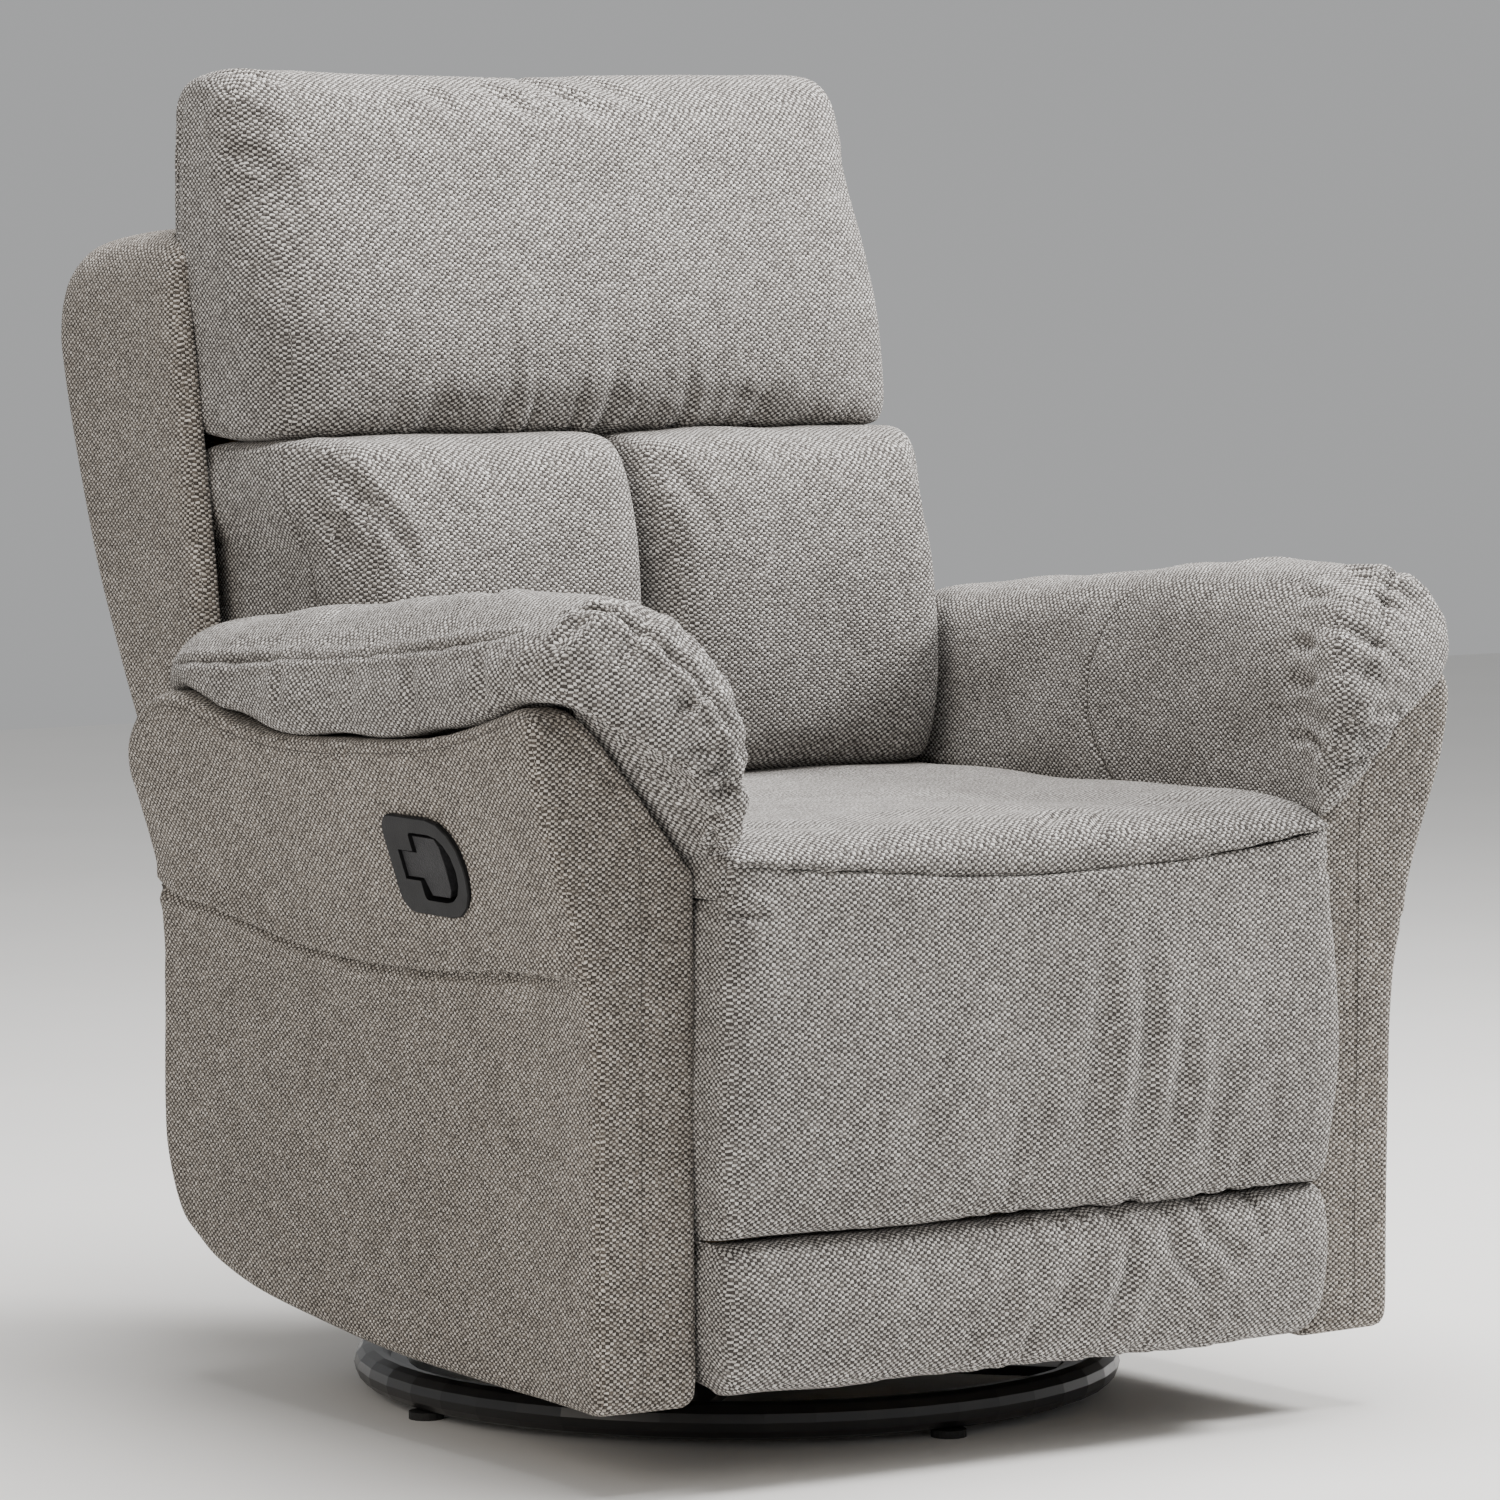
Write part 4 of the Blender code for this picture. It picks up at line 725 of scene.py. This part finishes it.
for points, depth, width in (
        ([(0.085, -0.472, 0.172), (0.078, -0.478, 0.135), (0.058, -0.472, 0.096)], 0.0055, 0.0085),
        ([(0.120, -0.472, 0.174), (0.132, -0.478, 0.145), (0.162, -0.476, 0.118)], 0.0050, 0.0085),
        ([(0.150, -0.472, 0.170), (0.170, -0.476, 0.150), (0.200, -0.474, 0.130)], 0.0032, 0.0090),
        ([(0.040, -0.472, 0.160), (0.018, -0.478, 0.125), (-0.018, -0.472, 0.090)], 0.0036, 0.0100),
        ([(-0.020, -0.472, 0.150), (-0.045, -0.478, 0.120), (-0.080, -0.472, 0.092)], 0.0024, 0.0120)):
    fold(body, points, depth, width)
swell(body, 0.0014, 0.12, 77)
settle(body, "leg_rest", ["leg_rest_pad_lower"])
print("foot pad", len(body.data.polygons))

rearPanel = {"name": "rear_panel_cover", "around": 90, "along": 110, "across": (-0.2830, 0.2830), "ends": (30.0, 30.0),
             "profile": [(0.2232, 0.340), (0.2232, 0.250), (0.2232, 0.145), (0.2235, 0.128), (0.2260, 0.1252), (0.2300, 0.1255),
                         (0.2328, 0.132), (0.2338, 0.180), (0.2340, 0.260), (0.2336, 0.330), (0.2320, 0.356),
                         (0.2290, 0.3598), (0.2250, 0.3592), (0.2233, 0.354)]}
body = pillowForm(rearPanel, shadedSideCloth)
settle(body, "carriage", ["rear_panel"])
print("rear panel", len(body.data.polygons))

# ------------------------------------------------ arms: flared panels

armPanel = {"outline": [(-0.4325, 0.440), (-0.4325, 0.520), (-0.4322, 0.556), (-0.4285, 0.5755), (-0.4190, 0.5850), (-0.4040, 0.5880),
                        (-0.3830, 0.5820), (-0.3350, 0.5690), (-0.2850, 0.5595),
                        (-0.2300, 0.5530), (-0.1500, 0.5475), (-0.0850, 0.5450), (-0.0300, 0.5460), (0.0150, 0.5510), (0.0500, 0.5590),
                        (0.0900, 0.5680), (0.1250, 0.5650), (0.1600, 0.5510), (0.1940, 0.5250), (0.2080, 0.5000),
                        (0.2090, 0.4730), (0.2145, 0.4070), (0.2270, 0.3500), (0.2325, 0.3100), (0.2325, 0.2200), (0.2275, 0.1790),
                        (0.2085, 0.1370), (0.1780, 0.1160), (0.1425, 0.1015), (0.0625, 0.0845),
                        (-0.0775, 0.0692), (-0.2575, 0.0612), (-0.3900, 0.0610), (-0.4180, 0.0613), (-0.4285, 0.0665), (-0.4322, 0.0800),
                        (-0.4325, 0.1200), (-0.4325, 0.2000), (-0.4325, 0.3200)],
            "middle": (-0.100, 0.320), "inner": 0.2867,
            "flareZ": [0.055, 0.290, 0.342, 0.380, 0.410, 0.503, 0.545, 0.566, 0.580, 0.592],
            "flareX": [0.3670, 0.3675, 0.3705, 0.3775, 0.3832, 0.4137, 0.4272, 0.4318, 0.4305, 0.4270],
            "slantLow": (0.2867, 0.460), "slantHigh": (0.3890, 0.585)}


def panelInner(z):
    share = np.clip((z - armPanel["slantLow"][1]) / (armPanel["slantHigh"][1] - armPanel["slantLow"][1]), 0, 1.05)
    return armPanel["slantLow"][0] + (armPanel["slantHigh"][0] - armPanel["slantLow"][0]) * share


sideSeam = smoothLine([(0.220, 0.402), (0.160, 0.397), (0.1155, 0.394), (-0.0085, 0.377), (-0.1275, 0.371), (-0.2315, 0.375),
                       (-0.3500, 0.384), (-0.4280, 0.389)], 260)


def roundOff(apart, radius):
    inward = unit(1 - apart / radius)
    return radius * (1 - np.sqrt(unit(1 - inward**2)))


def armPanelBody(side, way):
    around = 560
    loop = roundedLoop(armPanel["outline"], around)
    middle = np.array(armPanel["middle"])
    reach = np.linalg.norm(loop - middle, axis=1)
    insets = [0.0, 0.0012, 0.0028, 0.0050, 0.0080, 0.0115, 0.0155, 0.0200, 0.0250, 0.0305, 0.0365, 0.0430]
    outerRings = [middle + (loop - middle) * (1 - inset / reach)[:, None] for inset in insets]
    for share in np.linspace(0, 1, 78)[1:-1]:
        outerRings.append(middle + (loop - middle) * ((1 - insets[-1] / reach) * (1 - share))[:, None])
    innerRings = [middle + (loop - middle) * (1 - inset / reach)[:, None] for inset in insets[::2]]
    for share in np.linspace(0, 1, 12)[1:-1]:
        innerRings.append(middle + (loop - middle) * ((1 - insets[-2] / reach) * (1 - share))[:, None])
    # how far each point lies from the rim, and how broad the turn is there
    toFront = unit((-0.36 - loop[:, 0]) / 0.06) * unit((0.60 - loop[:, 1]) / 0.06) * unit((loop[:, 1] - 0.055) / 0.02)
    rimRadius = 0.0120 - 0.0030 * toFront
    for turn in range(3):
        rimRadius = (np.roll(rimRadius, 6) + rimRadius + np.roll(rimRadius, -6)) / 3

    def depthOf(points):
        apart, radius = np.empty(len(points)), np.empty(len(points))
        for start in range(0, len(points), 4000):
            part = points[start:start + 4000]
            square = ((part[:, None] - loop[None]) ** 2).sum(2)
            nearest = square.argmin(1)
            apart[start:start + 4000] = np.sqrt(square[np.arange(len(part)), nearest])
            radius[start:start + 4000] = rimRadius[nearest]
        return apart, radius

    rows = []
    for index, ring in enumerate(outerRings[::-1]):
        apart, radius = depthOf(ring) if len(outerRings) - 1 - index < 16 else (np.full(around, 1.0), np.full(around, 0.01))
        fuller = 0.0060 * unit((-0.330 - ring[:, 0]) / 0.09) * unit((0.56 - ring[:, 1]) / 0.05)
        outer = keyed(armPanel["flareZ"], armPanel["flareX"], ring[:, 1]) + fuller - roundOff(apart, radius)
        rows.append(np.column_stack([outer, ring]))
    innerEdge = panelInner(loop[:, 1]) + 0.0080
    outerEdge = rows[-1][:, 0]
    for share in np.linspace(0, 1, 12)[1:-1]:
        rows.append(np.column_stack([outerEdge + (np.minimum(innerEdge, outerEdge - 0.004) - outerEdge) * share, loop]))
    for ring in innerRings:
        apart, radius = depthOf(ring)
        rows.append(np.column_stack([panelInner(ring[:, 1]) + roundOff(apart, np.full(around, 0.0080)), ring]))
    rings = np.array(rows)
    rings[:, :, 0] *= way
    return skin("arm_panel_%s_cover" % side, rings, shadedSideCloth)


for side, way in (("left", 1), ("right", -1)):
    body = armPanelBody(side, way)
    places = readPoints(body)
    outerFace = (np.abs(places[:, 0]) > 0.345) & (places[:, 1] > -0.4325)
    # the upper cover swells over the lower one at the side seam
    seamZ = np.interp(places[:, 1], sideSeam[::-1, 0], sideSeam[::-1, 1])
    above = places[:, 2] - seamZ
    lift = (0.0090 * unit(above / 0.005 + 0.5) * np.exp(-np.clip(above, 0, None) / 0.060)
            - 0.0022 * unit(0.5 - above / 0.006) * np.exp(np.clip(above, None, 0) / 0.030))
    places[:, 0] += way * lift * outerFace * np.clip((places[:, 1] + 0.428) / 0.05, 0.15, 1) * unit((0.205 - places[:, 1]) / 0.040)
    writePoints(body, places)
    lowerSeam = np.column_stack([way * (keyed(armPanel["flareZ"], armPanel["flareX"], sideSeam[:, 1])), sideSeam])
    groove(body, lowerSeam, 0.0090, 0.0040, 0.2)
    loop = roundedLoop(armPanel["outline"], 560)
    top = loop[(loop[:, 1] > 0.535) & (loop[:, 0] > -0.405) & (loop[:, 0] < 0.168)]
    top = top[np.argsort(-top[:, 0])]
    topSeam = np.column_stack([way * (keyed(armPanel["flareZ"], armPanel["flareX"], top[:, 1] - 0.0105) - 0.0006), top[:, 0],
                               top[:, 1] - 0.0105])
    frontSeam = [(way * 0.4200, -0.4250, 0.5790), (way * 0.3916, -0.4325, 0.5643), (way * 0.3708, -0.4325, 0.5391),
                 (way * 0.3526, -0.4325, 0.5162), (way * 0.3400, -0.4325, 0.4900), (way * 0.3370, -0.4325, 0.4400),
                 (way * 0.3365, -0.4325, 0.3700), (way * 0.3365, -0.4325, 0.3000), (way * 0.3365, -0.4325, 0.1800),
                 (way * 0.3360, -0.4325, 0.0700)]
    edgeSeam = smoothLine(np.vstack([topSeam[::12], np.array(frontSeam)]), 420)
    groove(body, edgeSeam, 0.0016, 0.0022, 0.3)
    gather(body, topSeam, 0.0012, 0.030, 0.055, 81 if way > 0 else 83, only=lambda p: (np.abs(p[:, 0]) > 0.36) * 1.0)
    swell(body, 0.0009, 0.22, 85 if way > 0 else 86)
    if side == "right":
        pocket = bpy.data.objects.new("pocket", nodes["release_bezel"].data.copy())
        scene.collection.objects.link(pocket)
        grown = bmesh.new()
        grown.from_mesh(pocket.data)
        hull = bmesh.ops.convex_hull(grown, input=grown.verts)
        bmesh.ops.delete(grown, geom=[g for g in hull["geom_interior"] if isinstance(g, bmesh.types.BMVert)], context="VERTS")
        bmesh.ops.recalc_face_normals(grown, faces=grown.faces)
        middlePoint = sum((v.co for v in grown.verts), Vector()) / len(grown.verts)
        for vertex in grown.verts:
            vertex.co = middlePoint + (vertex.co - middlePoint) * 0.93
        grown.to_mesh(pocket.data)
        grown.free()
        cut = body.modifiers.new("pocket", "BOOLEAN")
        cut.operation, cut.solver, cut.object = "DIFFERENCE", "EXACT", pocket
        cutMesh = bpy.data.meshes.new_from_object(body.evaluated_get(bpy.context.evaluated_depsgraph_get()))
        body.modifiers.clear()
        body.data = cutMesh
        bpy.data.objects.remove(pocket, do_unlink=True)
        cutMesh.polygons.foreach_set("use_smooth", [True] * len(cutMesh.polygons))
    addSeam("carriage", body, evenly(edgeSeam, 500))
    addSeam("carriage", body, evenly(lowerSeam, 260))
    settle(body, "carriage", ["arm_panel_" + side])
    print("arm panel", side, len(body.data.polygons))

# ------------------------------------------------ arms: pillows

armPillow = {
    # place along the arm, front to rear
    "y": [-0.4875, -0.4865, -0.4845, -0.4795, -0.4715, -0.4605, -0.4450, -0.4250, -0.4000, -0.3600, -0.3000, -0.2200, -0.1280, -0.0400,
          0.0300, 0.0950, 0.1300, 0.1500, 0.1620, 0.1680, 0.1695],
    "crown": [0.5500, 0.5660, 0.5770, 0.5950, 0.6120, 0.6300, 0.6470, 0.6580, 0.6640, 0.6670, 0.6660, 0.6590, 0.6480, 0.6400, 0.6340,
              0.6260, 0.6170, 0.6060, 0.5950, 0.5840, 0.5740],
    "foot": [0.5350, 0.5220, 0.5150, 0.5030, 0.4920, 0.4820, 0.4750, 0.4715, 0.4700, 0.4705, 0.4715, 0.4730, 0.4745, 0.4760, 0.4775,
             0.4800, 0.4850, 0.4940, 0.5080, 0.5280, 0.5450],
    "inner": [0.2970, 0.2880, 0.2840, 0.2785, 0.2755, 0.2765, 0.2815, 0.2860, 0.2871, 0.2871, 0.2871, 0.2871, 0.2871, 0.2871, 0.2871,
              0.2871, 0.2873, 0.2885, 0.2940, 0.3060, 0.3300],
    "outer": [0.3000, 0.3250, 0.3380, 0.3580, 0.3780, 0.3990, 0.4170, 0.4250, 0.4280, 0.4285, 0.4285, 0.4285, 0.4285, 0.4285, 0.4275,
              0.4210, 0.4120, 0.4020, 0.3900, 0.3740, 0.3550],
    "tuck": [0.0270, 0.0270, 0.0270, 0.0265, 0.0250, 0.0220, 0.0140, 0.0060, 0.0038, 0.0035, 0.0035, 0.0035, 0.0035, 0.0035, 0.0035,
             0.0035, 0.0035, 0.0040, 0.0060, 0.0090, 0.0120],
    # height of the lower outer edge; None where it simply lies on the panel
    "edge": [0.5400, 0.5460, 0.5500, 0.5580, 0.5690, 0.5810, 0.5905, 0.5920, None, None, None, None, None, None, None, None, None, None,
             0.5590, 0.5600, 0.5620]}

topOutline = np.array([p for p in armPanel["outline"] if p[1] > 0.515 and p[0] < 0.20])
topOutline = topOutline[np.argsort(topOutline[:, 0])][2:]


def panelTop(y):
    return keyed(topOutline[:, 0], topOutline[:, 1], np.atleast_1d(y))


def armPillowBody(side, way):
    loops = []
    for index, y in enumerate(armPillow["y"]):
        crown, foot, inner, outer, tuck, edge = [armPillow[part][index] for part in ("crown", "foot", "inner", "outer", "tuck", "edge")]
        edge = float(panelTop(y)[0]) + 0.0025 if edge is None else edge
        wide, tall = outer - inner, crown - foot

        def onSlant(share):
            z = foot + share * (edge - foot)
            return np.clip(panelInner(z) - tuck, inner + 0.06 * wide, inner + 0.92 * wide), z

        loops.append(roundedLoop([(inner + 0.030 * wide + 0.0010, foot), (inner + 0.004 * wide, foot + 0.12 * tall),
                                  (inner, foot + 0.36 * tall), (inner + 0.008 * wide, foot + 0.62 * tall),
                                  (inner + 0.055 * wide, foot + 0.83 * tall), (inner + 0.180 * wide, foot + 0.955 * tall),
                                  (inner + 0.40 * wide, crown), (inner + 0.64 * wide, crown - 0.018 * tall),
                                  (inner + 0.83 * wide, edge + 0.80 * (crown - edge)),
                                  (inner + 0.955 * wide, edge + 0.54 * (crown - edge)), (outer, edge + 0.28 * (crown - edge)),
                                  (outer - 0.025 * wide, edge + 0.07 * (crown - edge)), (outer - 0.10 * wide, edge),
                                  (min(outer - 0.22 * wide, panelInner(edge) + 0.01), edge - 0.0005),
                                  onSlant(0.72), onSlant(0.30)], 290))
    places = np.concatenate([-0.4875 + 0.0425 * (1 - np.cos(np.linspace(0, math.pi / 2, 46)[:-1])),
                             np.linspace(-0.4450, -0.3600, 44)[:-1], np.linspace(-0.3600, 0.1300, 150)[:-1],
                             0.1695 - 0.0395 * (1 - np.cos(np.linspace(0, math.pi / 2, 24)))[::-1]])
    sections = keyed(armPillow["y"], np.array(loops), places)
    rings = [np.column_stack([way * section[:, 0], np.full(len(section), place), section[:, 1]]) for section,
             place in zip(sections, places)]
    return skin("arm_pillow_%s_cover" % side, rings, seatCloth)


def clearOfPanel(body, way):
    # nothing of the pillow goes into the panel it lies on
    places = readPoints(body)
    out, top = way * places[:, 0], panelTop(places[:, 1])
    over = (places[:, 1] > -0.4360) & (out > panelInner(places[:, 2]) - 0.0022) & (places[:, 2] < top + 0.0012)
    onTop = over & (places[:, 2] > top - 0.022)
    places[:, 2] = np.where(onTop, top + 0.0012, places[:, 2])
    places[:, 0] = np.where(over & ~onTop, way * (panelInner(places[:, 2]) - 0.0022), places[:, 0])
    writePoints(body, places)


for side, way in (("left", 1), ("right", -1)):
    body = armPillowBody(side, way)
    # the front cap is sewn in gathered, just round the corner from the inner face
    capLine = smoothLine([(way * 0.288, -0.452, 0.478), (way * 0.279, -0.472, 0.520), (way * 0.284, -0.480, 0.548),
                          (way * 0.300, -0.478, 0.580), (way * 0.330, -0.462, 0.622), (way * 0.366, -0.432, 0.653),
                          (way * 0.392, -0.412, 0.655)], 140)
    groove(body, capLine, 0.0050, 0.0036, 0.4)
    gather(body, capLine, 0.0070, 0.056, 0.028, 91 if way > 0 else 93)
    outerSeam = smoothLine([(way * 0.418, 0.142, 0.590), (way * 0.4215, 0.060, 0.594), (way * 0.4220, -0.080, 0.606),
                            (way * 0.4215, -0.220, 0.619), (way * 0.417, -0.330, 0.630), (way * 0.410, -0.390, 0.640)], 200)
    groove(body, outerSeam, 0.0034, 0.0026, 0.45)
    gather(body, outerSeam, 0.0030, 0.034, 0.042, 95 if way > 0 else 97)
    innerSeam = smoothLine([(way * 0.300, -0.185, 0.642), (way * 0.288, -0.160, 0.610), (way * 0.287, -0.142, 0.565),
                            (way * 0.287, -0.148, 0.520), (way * 0.288, -0.175, 0.480)], 80)
    groove(body, innerSeam, 0.0026, 0.0028, 0.3)
    for points, depth, width in (
            # the deep fold where the roll turns down at the front, and the creases that fan out from it
            ([(way * 0.340, -0.405, 0.662), (way * 0.362, -0.422, 0.652), (way * 0.384, -0.428, 0.642), (way * 0.402, -0.431, 0.630),
              (way * 0.414, -0.426, 0.614)], 0.0170, 0.0062),
            ([(way * 0.400, -0.400, 0.642), (way * 0.416, -0.398, 0.622), (way * 0.423, -0.392, 0.600)], 0.0065, 0.0060),
            ([(way * 0.372, -0.442, 0.628), (way * 0.390, -0.436, 0.612), (way * 0.404, -0.430, 0.598)], 0.0055, 0.0065),
            ([(way * 0.300, -0.478, 0.592), (way * 0.330, -0.474, 0.588), (way * 0.362, -0.462, 0.580)], 0.0050, 0.0060),
            ([(way * 0.290, -0.482, 0.560), (way * 0.318, -0.484, 0.558), (way * 0.348, -0.472, 0.556)], 0.0055, 0.0055),
            ([(way * 0.284, -0.480, 0.530), (way * 0.302, -0.484, 0.528), (way * 0.325, -0.474, 0.526)], 0.0040, 0.0060),
            # tucked corner at the lowest point
            ([(way * 0.281, -0.466, 0.512), (way * 0.292, -0.472, 0.511), (way * 0.302, -0.468, 0.510)], 0.0055, 0.0035),
            ([(way * 0.293, -0.470, 0.509), (way * 0.293, -0.462, 0.492), (way * 0.294, -0.452, 0.480)], 0.0055, 0.0030),
            # puckers running back over the inner face
            ([(way * 0.296, -0.470, 0.600), (way * 0.292, -0.440, 0.606), (way * 0.291, -0.405, 0.608)], 0.0060, 0.0055),
            ([(way * 0.286, -0.468, 0.575), (way * 0.288, -0.438, 0.578), (way * 0.288, -0.400, 0.578)], 0.0050, 0.0055),
            ([(way * 0.282, -0.462, 0.535), (way * 0.287, -0.435, 0.536), (way * 0.287, -0.405, 0.534)], 0.0045, 0.0050),
            ([(way * 0.315, -0.456, 0.630), (way * 0.308, -0.425, 0.640), (way * 0.306, -0.395, 0.644)], 0.0060, 0.0060),
            ([(way * 0.345, -0.250, 0.663), (way * 0.372, -0.280, 0.658), (way * 0.400, -0.300, 0.643)], 0.0035, 0.0100),
            ([(way * 0.345, -0.180, 0.655), (way * 0.372, -0.205, 0.650), (way * 0.400, -0.222, 0.634)], 0.0032, 0.0100),
            ([(way * 0.350, -0.050, 0.642), (way * 0.378, -0.070, 0.637), (way * 0.402, -0.085, 0.622)], 0.0026, 0.0100),
            ([(way * 0.426, -0.060, 0.600), (way * 0.428, -0.065, 0.582), (way * 0.425, -0.068, 0.560)], 0.0030, 0.0070),
            ([(way * 0.426, -0.160, 0.606), (way * 0.428, -0.166, 0.586), (way * 0.425, -0.170, 0.562)], 0.0026, 0.0080),
            ([(way * 0.426, -0.250, 0.612), (way * 0.428, -0.256, 0.592), (way * 0.425, -0.262, 0.572)], 0.0034, 0.0070),
            ([(way * 0.424, -0.350, 0.622), (way * 0.428, -0.360, 0.604), (way * 0.426, -0.366, 0.588)], 0.0040, 0.0070)):
        fold(body, points, depth, width)
    swell(body, 0.0018, 0.10, 98 if way > 0 else 99)
    clearOfPanel(body, way)
    addSeam("carriage", body, outerSeam)
    addSeam("carriage", body, innerSeam)
    addSeam("carriage", body, capLine)
    settle(body, "carriage", ["arm_pillow_" + side])
    print("arm pillow", side, len(body.data.polygons))

# ------------------------------------------------ release: bezel and paddle

for nodeName, material, slotName in (("release_bezel", bezelPlastic, "handle_plastic"),
                                     ("release_paddle", paddlePlastic, "handle_plastic")):
    nodes[nodeName].data.materials.clear()
    nodes[nodeName].data.materials.append(material)

# ------------------------------------------------ stitches along every seam


def stitchTree(thread):
    tree = bpy.data.node_groups.new("stitches", "GeometryNodeTree")
    tree.interface.new_socket("Geometry", in_out="INPUT", socket_type="NodeSocketGeometry")
    for label, value in (("Pitch", thread["pitch"]), ("Length", thread["length"]), ("Radius", thread["radius"])):
        tree.interface.new_socket(label, in_out="INPUT", socket_type="NodeSocketFloat").default_value = value
    tree.interface.new_socket("Geometry", in_out="OUTPUT", socket_type="NodeSocketGeometry")
    source, sink = tree.nodes.new("NodeGroupInput"), tree.nodes.new("NodeGroupOutput")
    curve = tree.nodes.new("GeometryNodeMeshToCurve")
    evenRun = tree.nodes.new("GeometryNodeResampleCurve")
    evenRun.mode = "LENGTH"
    heading = tree.nodes.new("GeometryNodeInputTangent")
    turned = tree.nodes.new("FunctionNodeAlignRotationToVector")
    turned.axis = "Z"
    bar = tree.nodes.new("GeometryNodeMeshCylinder")
    bar.inputs["Vertices"].default_value = 6
    placed = tree.nodes.new("GeometryNodeInstanceOnPoints")
    real = tree.nodes.new("GeometryNodeRealizeInstances")
    painted = tree.nodes.new("GeometryNodeSetMaterial")
    painted.inputs["Material"].default_value = seamThread
    link = tree.links.new
    link(source.outputs["Geometry"], curve.inputs["Mesh"])
    link(curve.outputs["Curve"], evenRun.inputs["Curve"])
    link(source.outputs["Pitch"], evenRun.inputs["Length"])
    link(heading.outputs["Tangent"], turned.inputs["Vector"])
    link(source.outputs["Radius"], bar.inputs["Radius"])
    link(source.outputs["Length"], bar.inputs["Depth"])
    link(evenRun.outputs["Curve"], placed.inputs["Points"])
    link(bar.outputs["Mesh"], placed.inputs["Instance"])
    link(turned.outputs["Rotation"], placed.inputs["Rotation"])
    link(placed.outputs["Instances"], real.inputs["Geometry"])
    link(real.outputs["Geometry"], painted.inputs["Geometry"])
    link(painted.outputs["Geometry"], sink.inputs["Geometry"])
    return tree


thread = {"pitch": 0.0052, "length": 0.0036, "radius": 0.00042}
stitches = stitchTree(thread)
for ridesOn, lines in seams.items():
    vertices, edges = [], []
    for line in lines:
        start = len(vertices)
        vertices += [tuple(p) for p in line]
        edges += [(start + i, start + i + 1) for i in range(len(line) - 1)]
    mesh = bpy.data.meshes.new("stitching_" + ridesOn)
    mesh.from_pydata(vertices, edges, [])
    body = bpy.data.objects.new("stitching_" + ridesOn, mesh)
    scene.collection.objects.link(body)
    modifier = body.modifiers.new("stitches", "NODES")
    modifier.node_group = stitches
    for item in stitches.interface.items_tree:
        if item.in_out == "INPUT" and item.name in ("Pitch", "Length", "Radius"):
            modifier[item.identifier] = thread[item.name.lower()]
    bpy.context.view_layer.update()
    made = bpy.data.meshes.new_from_object(body.evaluated_get(bpy.context.evaluated_depsgraph_get()))
    body.modifiers.clear()
    body.data = made
    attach(body, ridesOn)
    print("stitches on", ridesOn, len(made.polygons))

# ------------------------------------------------ floor, light and camera

floorMesh = bpy.data.meshes.new("floor")
floorMesh.from_pydata([(-6, -6, 0), (6, -6, 0), (6, 6, 0), (-6, 6, 0)], [], [(0, 1, 2, 3)])
floor = bpy.data.objects.new("floor", floorMesh)
scene.collection.objects.link(floor)
recipe = Recipe("pale_floor")
spot = recipe.add("ShaderNodeTexCoord", output=3)
cloud = recipe.noise(spot, 3.0, 4.0)
recipe.finish({"Roughness": 0.75}, {"Base Color": recipe.tint(cloud, (0.78, 0.77, 0.75, 1), (0.83, 0.82, 0.80, 1))})
floorMesh.materials.append(recipe.material)

view = {"turn": -34.0, "rise": 4.8357, "away": 5.8757, "sideways": 0.0105, "height": 0.5129, "lens": 175.81, "seatMiddleY": -0.0575}
turn, rise = math.radians(view["turn"]), math.radians(view["rise"])
backward = Vector((math.sin(turn) * math.cos(rise), -math.cos(turn) * math.cos(rise), math.sin(rise)))
rightward = Vector((math.cos(turn), math.sin(turn), 0))
target = Vector((0, view["seatMiddleY"], view["height"])) + rightward * view["sideways"]
cameraData = bpy.data.cameras.new("camera")
cameraData.lens, cameraData.sensor_width = view["lens"], 36.0
camera = bpy.data.objects.new("camera", cameraData)
camera.location = target + backward * view["away"]
camera.rotation_euler = (-backward).to_track_quat("-Z", "Y").to_euler()
scene.collection.objects.link(camera)
scene.camera = camera

lamps = {"key": ((3.0, -0.9, 2.4), (0.0, 0.0, 0.5), 1.0, 195, (1.0, 0.99, 0.98)),
         "over": ((0.2, -0.2, 3.3), (0.0, -0.1, 0.4), 2.4, 175, (1.0, 0.99, 0.99)),
         "fill": ((-2.9, -1.4, 1.5), (0.0, 0.0, 0.4), 2.2, 32, (1.0, 0.91, 0.80))}
for name, (place, aim, size, power, colour) in lamps.items():
    lampData = bpy.data.lights.new(name, "AREA")
    lampData.shape, lampData.size, lampData.energy, lampData.color = "DISK", size, power, colour
    lamp = bpy.data.objects.new(name, lampData)
    lamp.location = place
    lamp.rotation_euler = (Vector(aim) - Vector(place)).to_track_quat("-Z", "Y").to_euler()
    scene.collection.objects.link(lamp)
world = bpy.data.worlds.new("room")
world.use_nodes = True
world.node_tree.nodes["Background"].inputs["Color"].default_value = (0.93, 0.94, 0.95, 1)
world.node_tree.nodes["Background"].inputs["Strength"].default_value = 0.45
scene.world = world
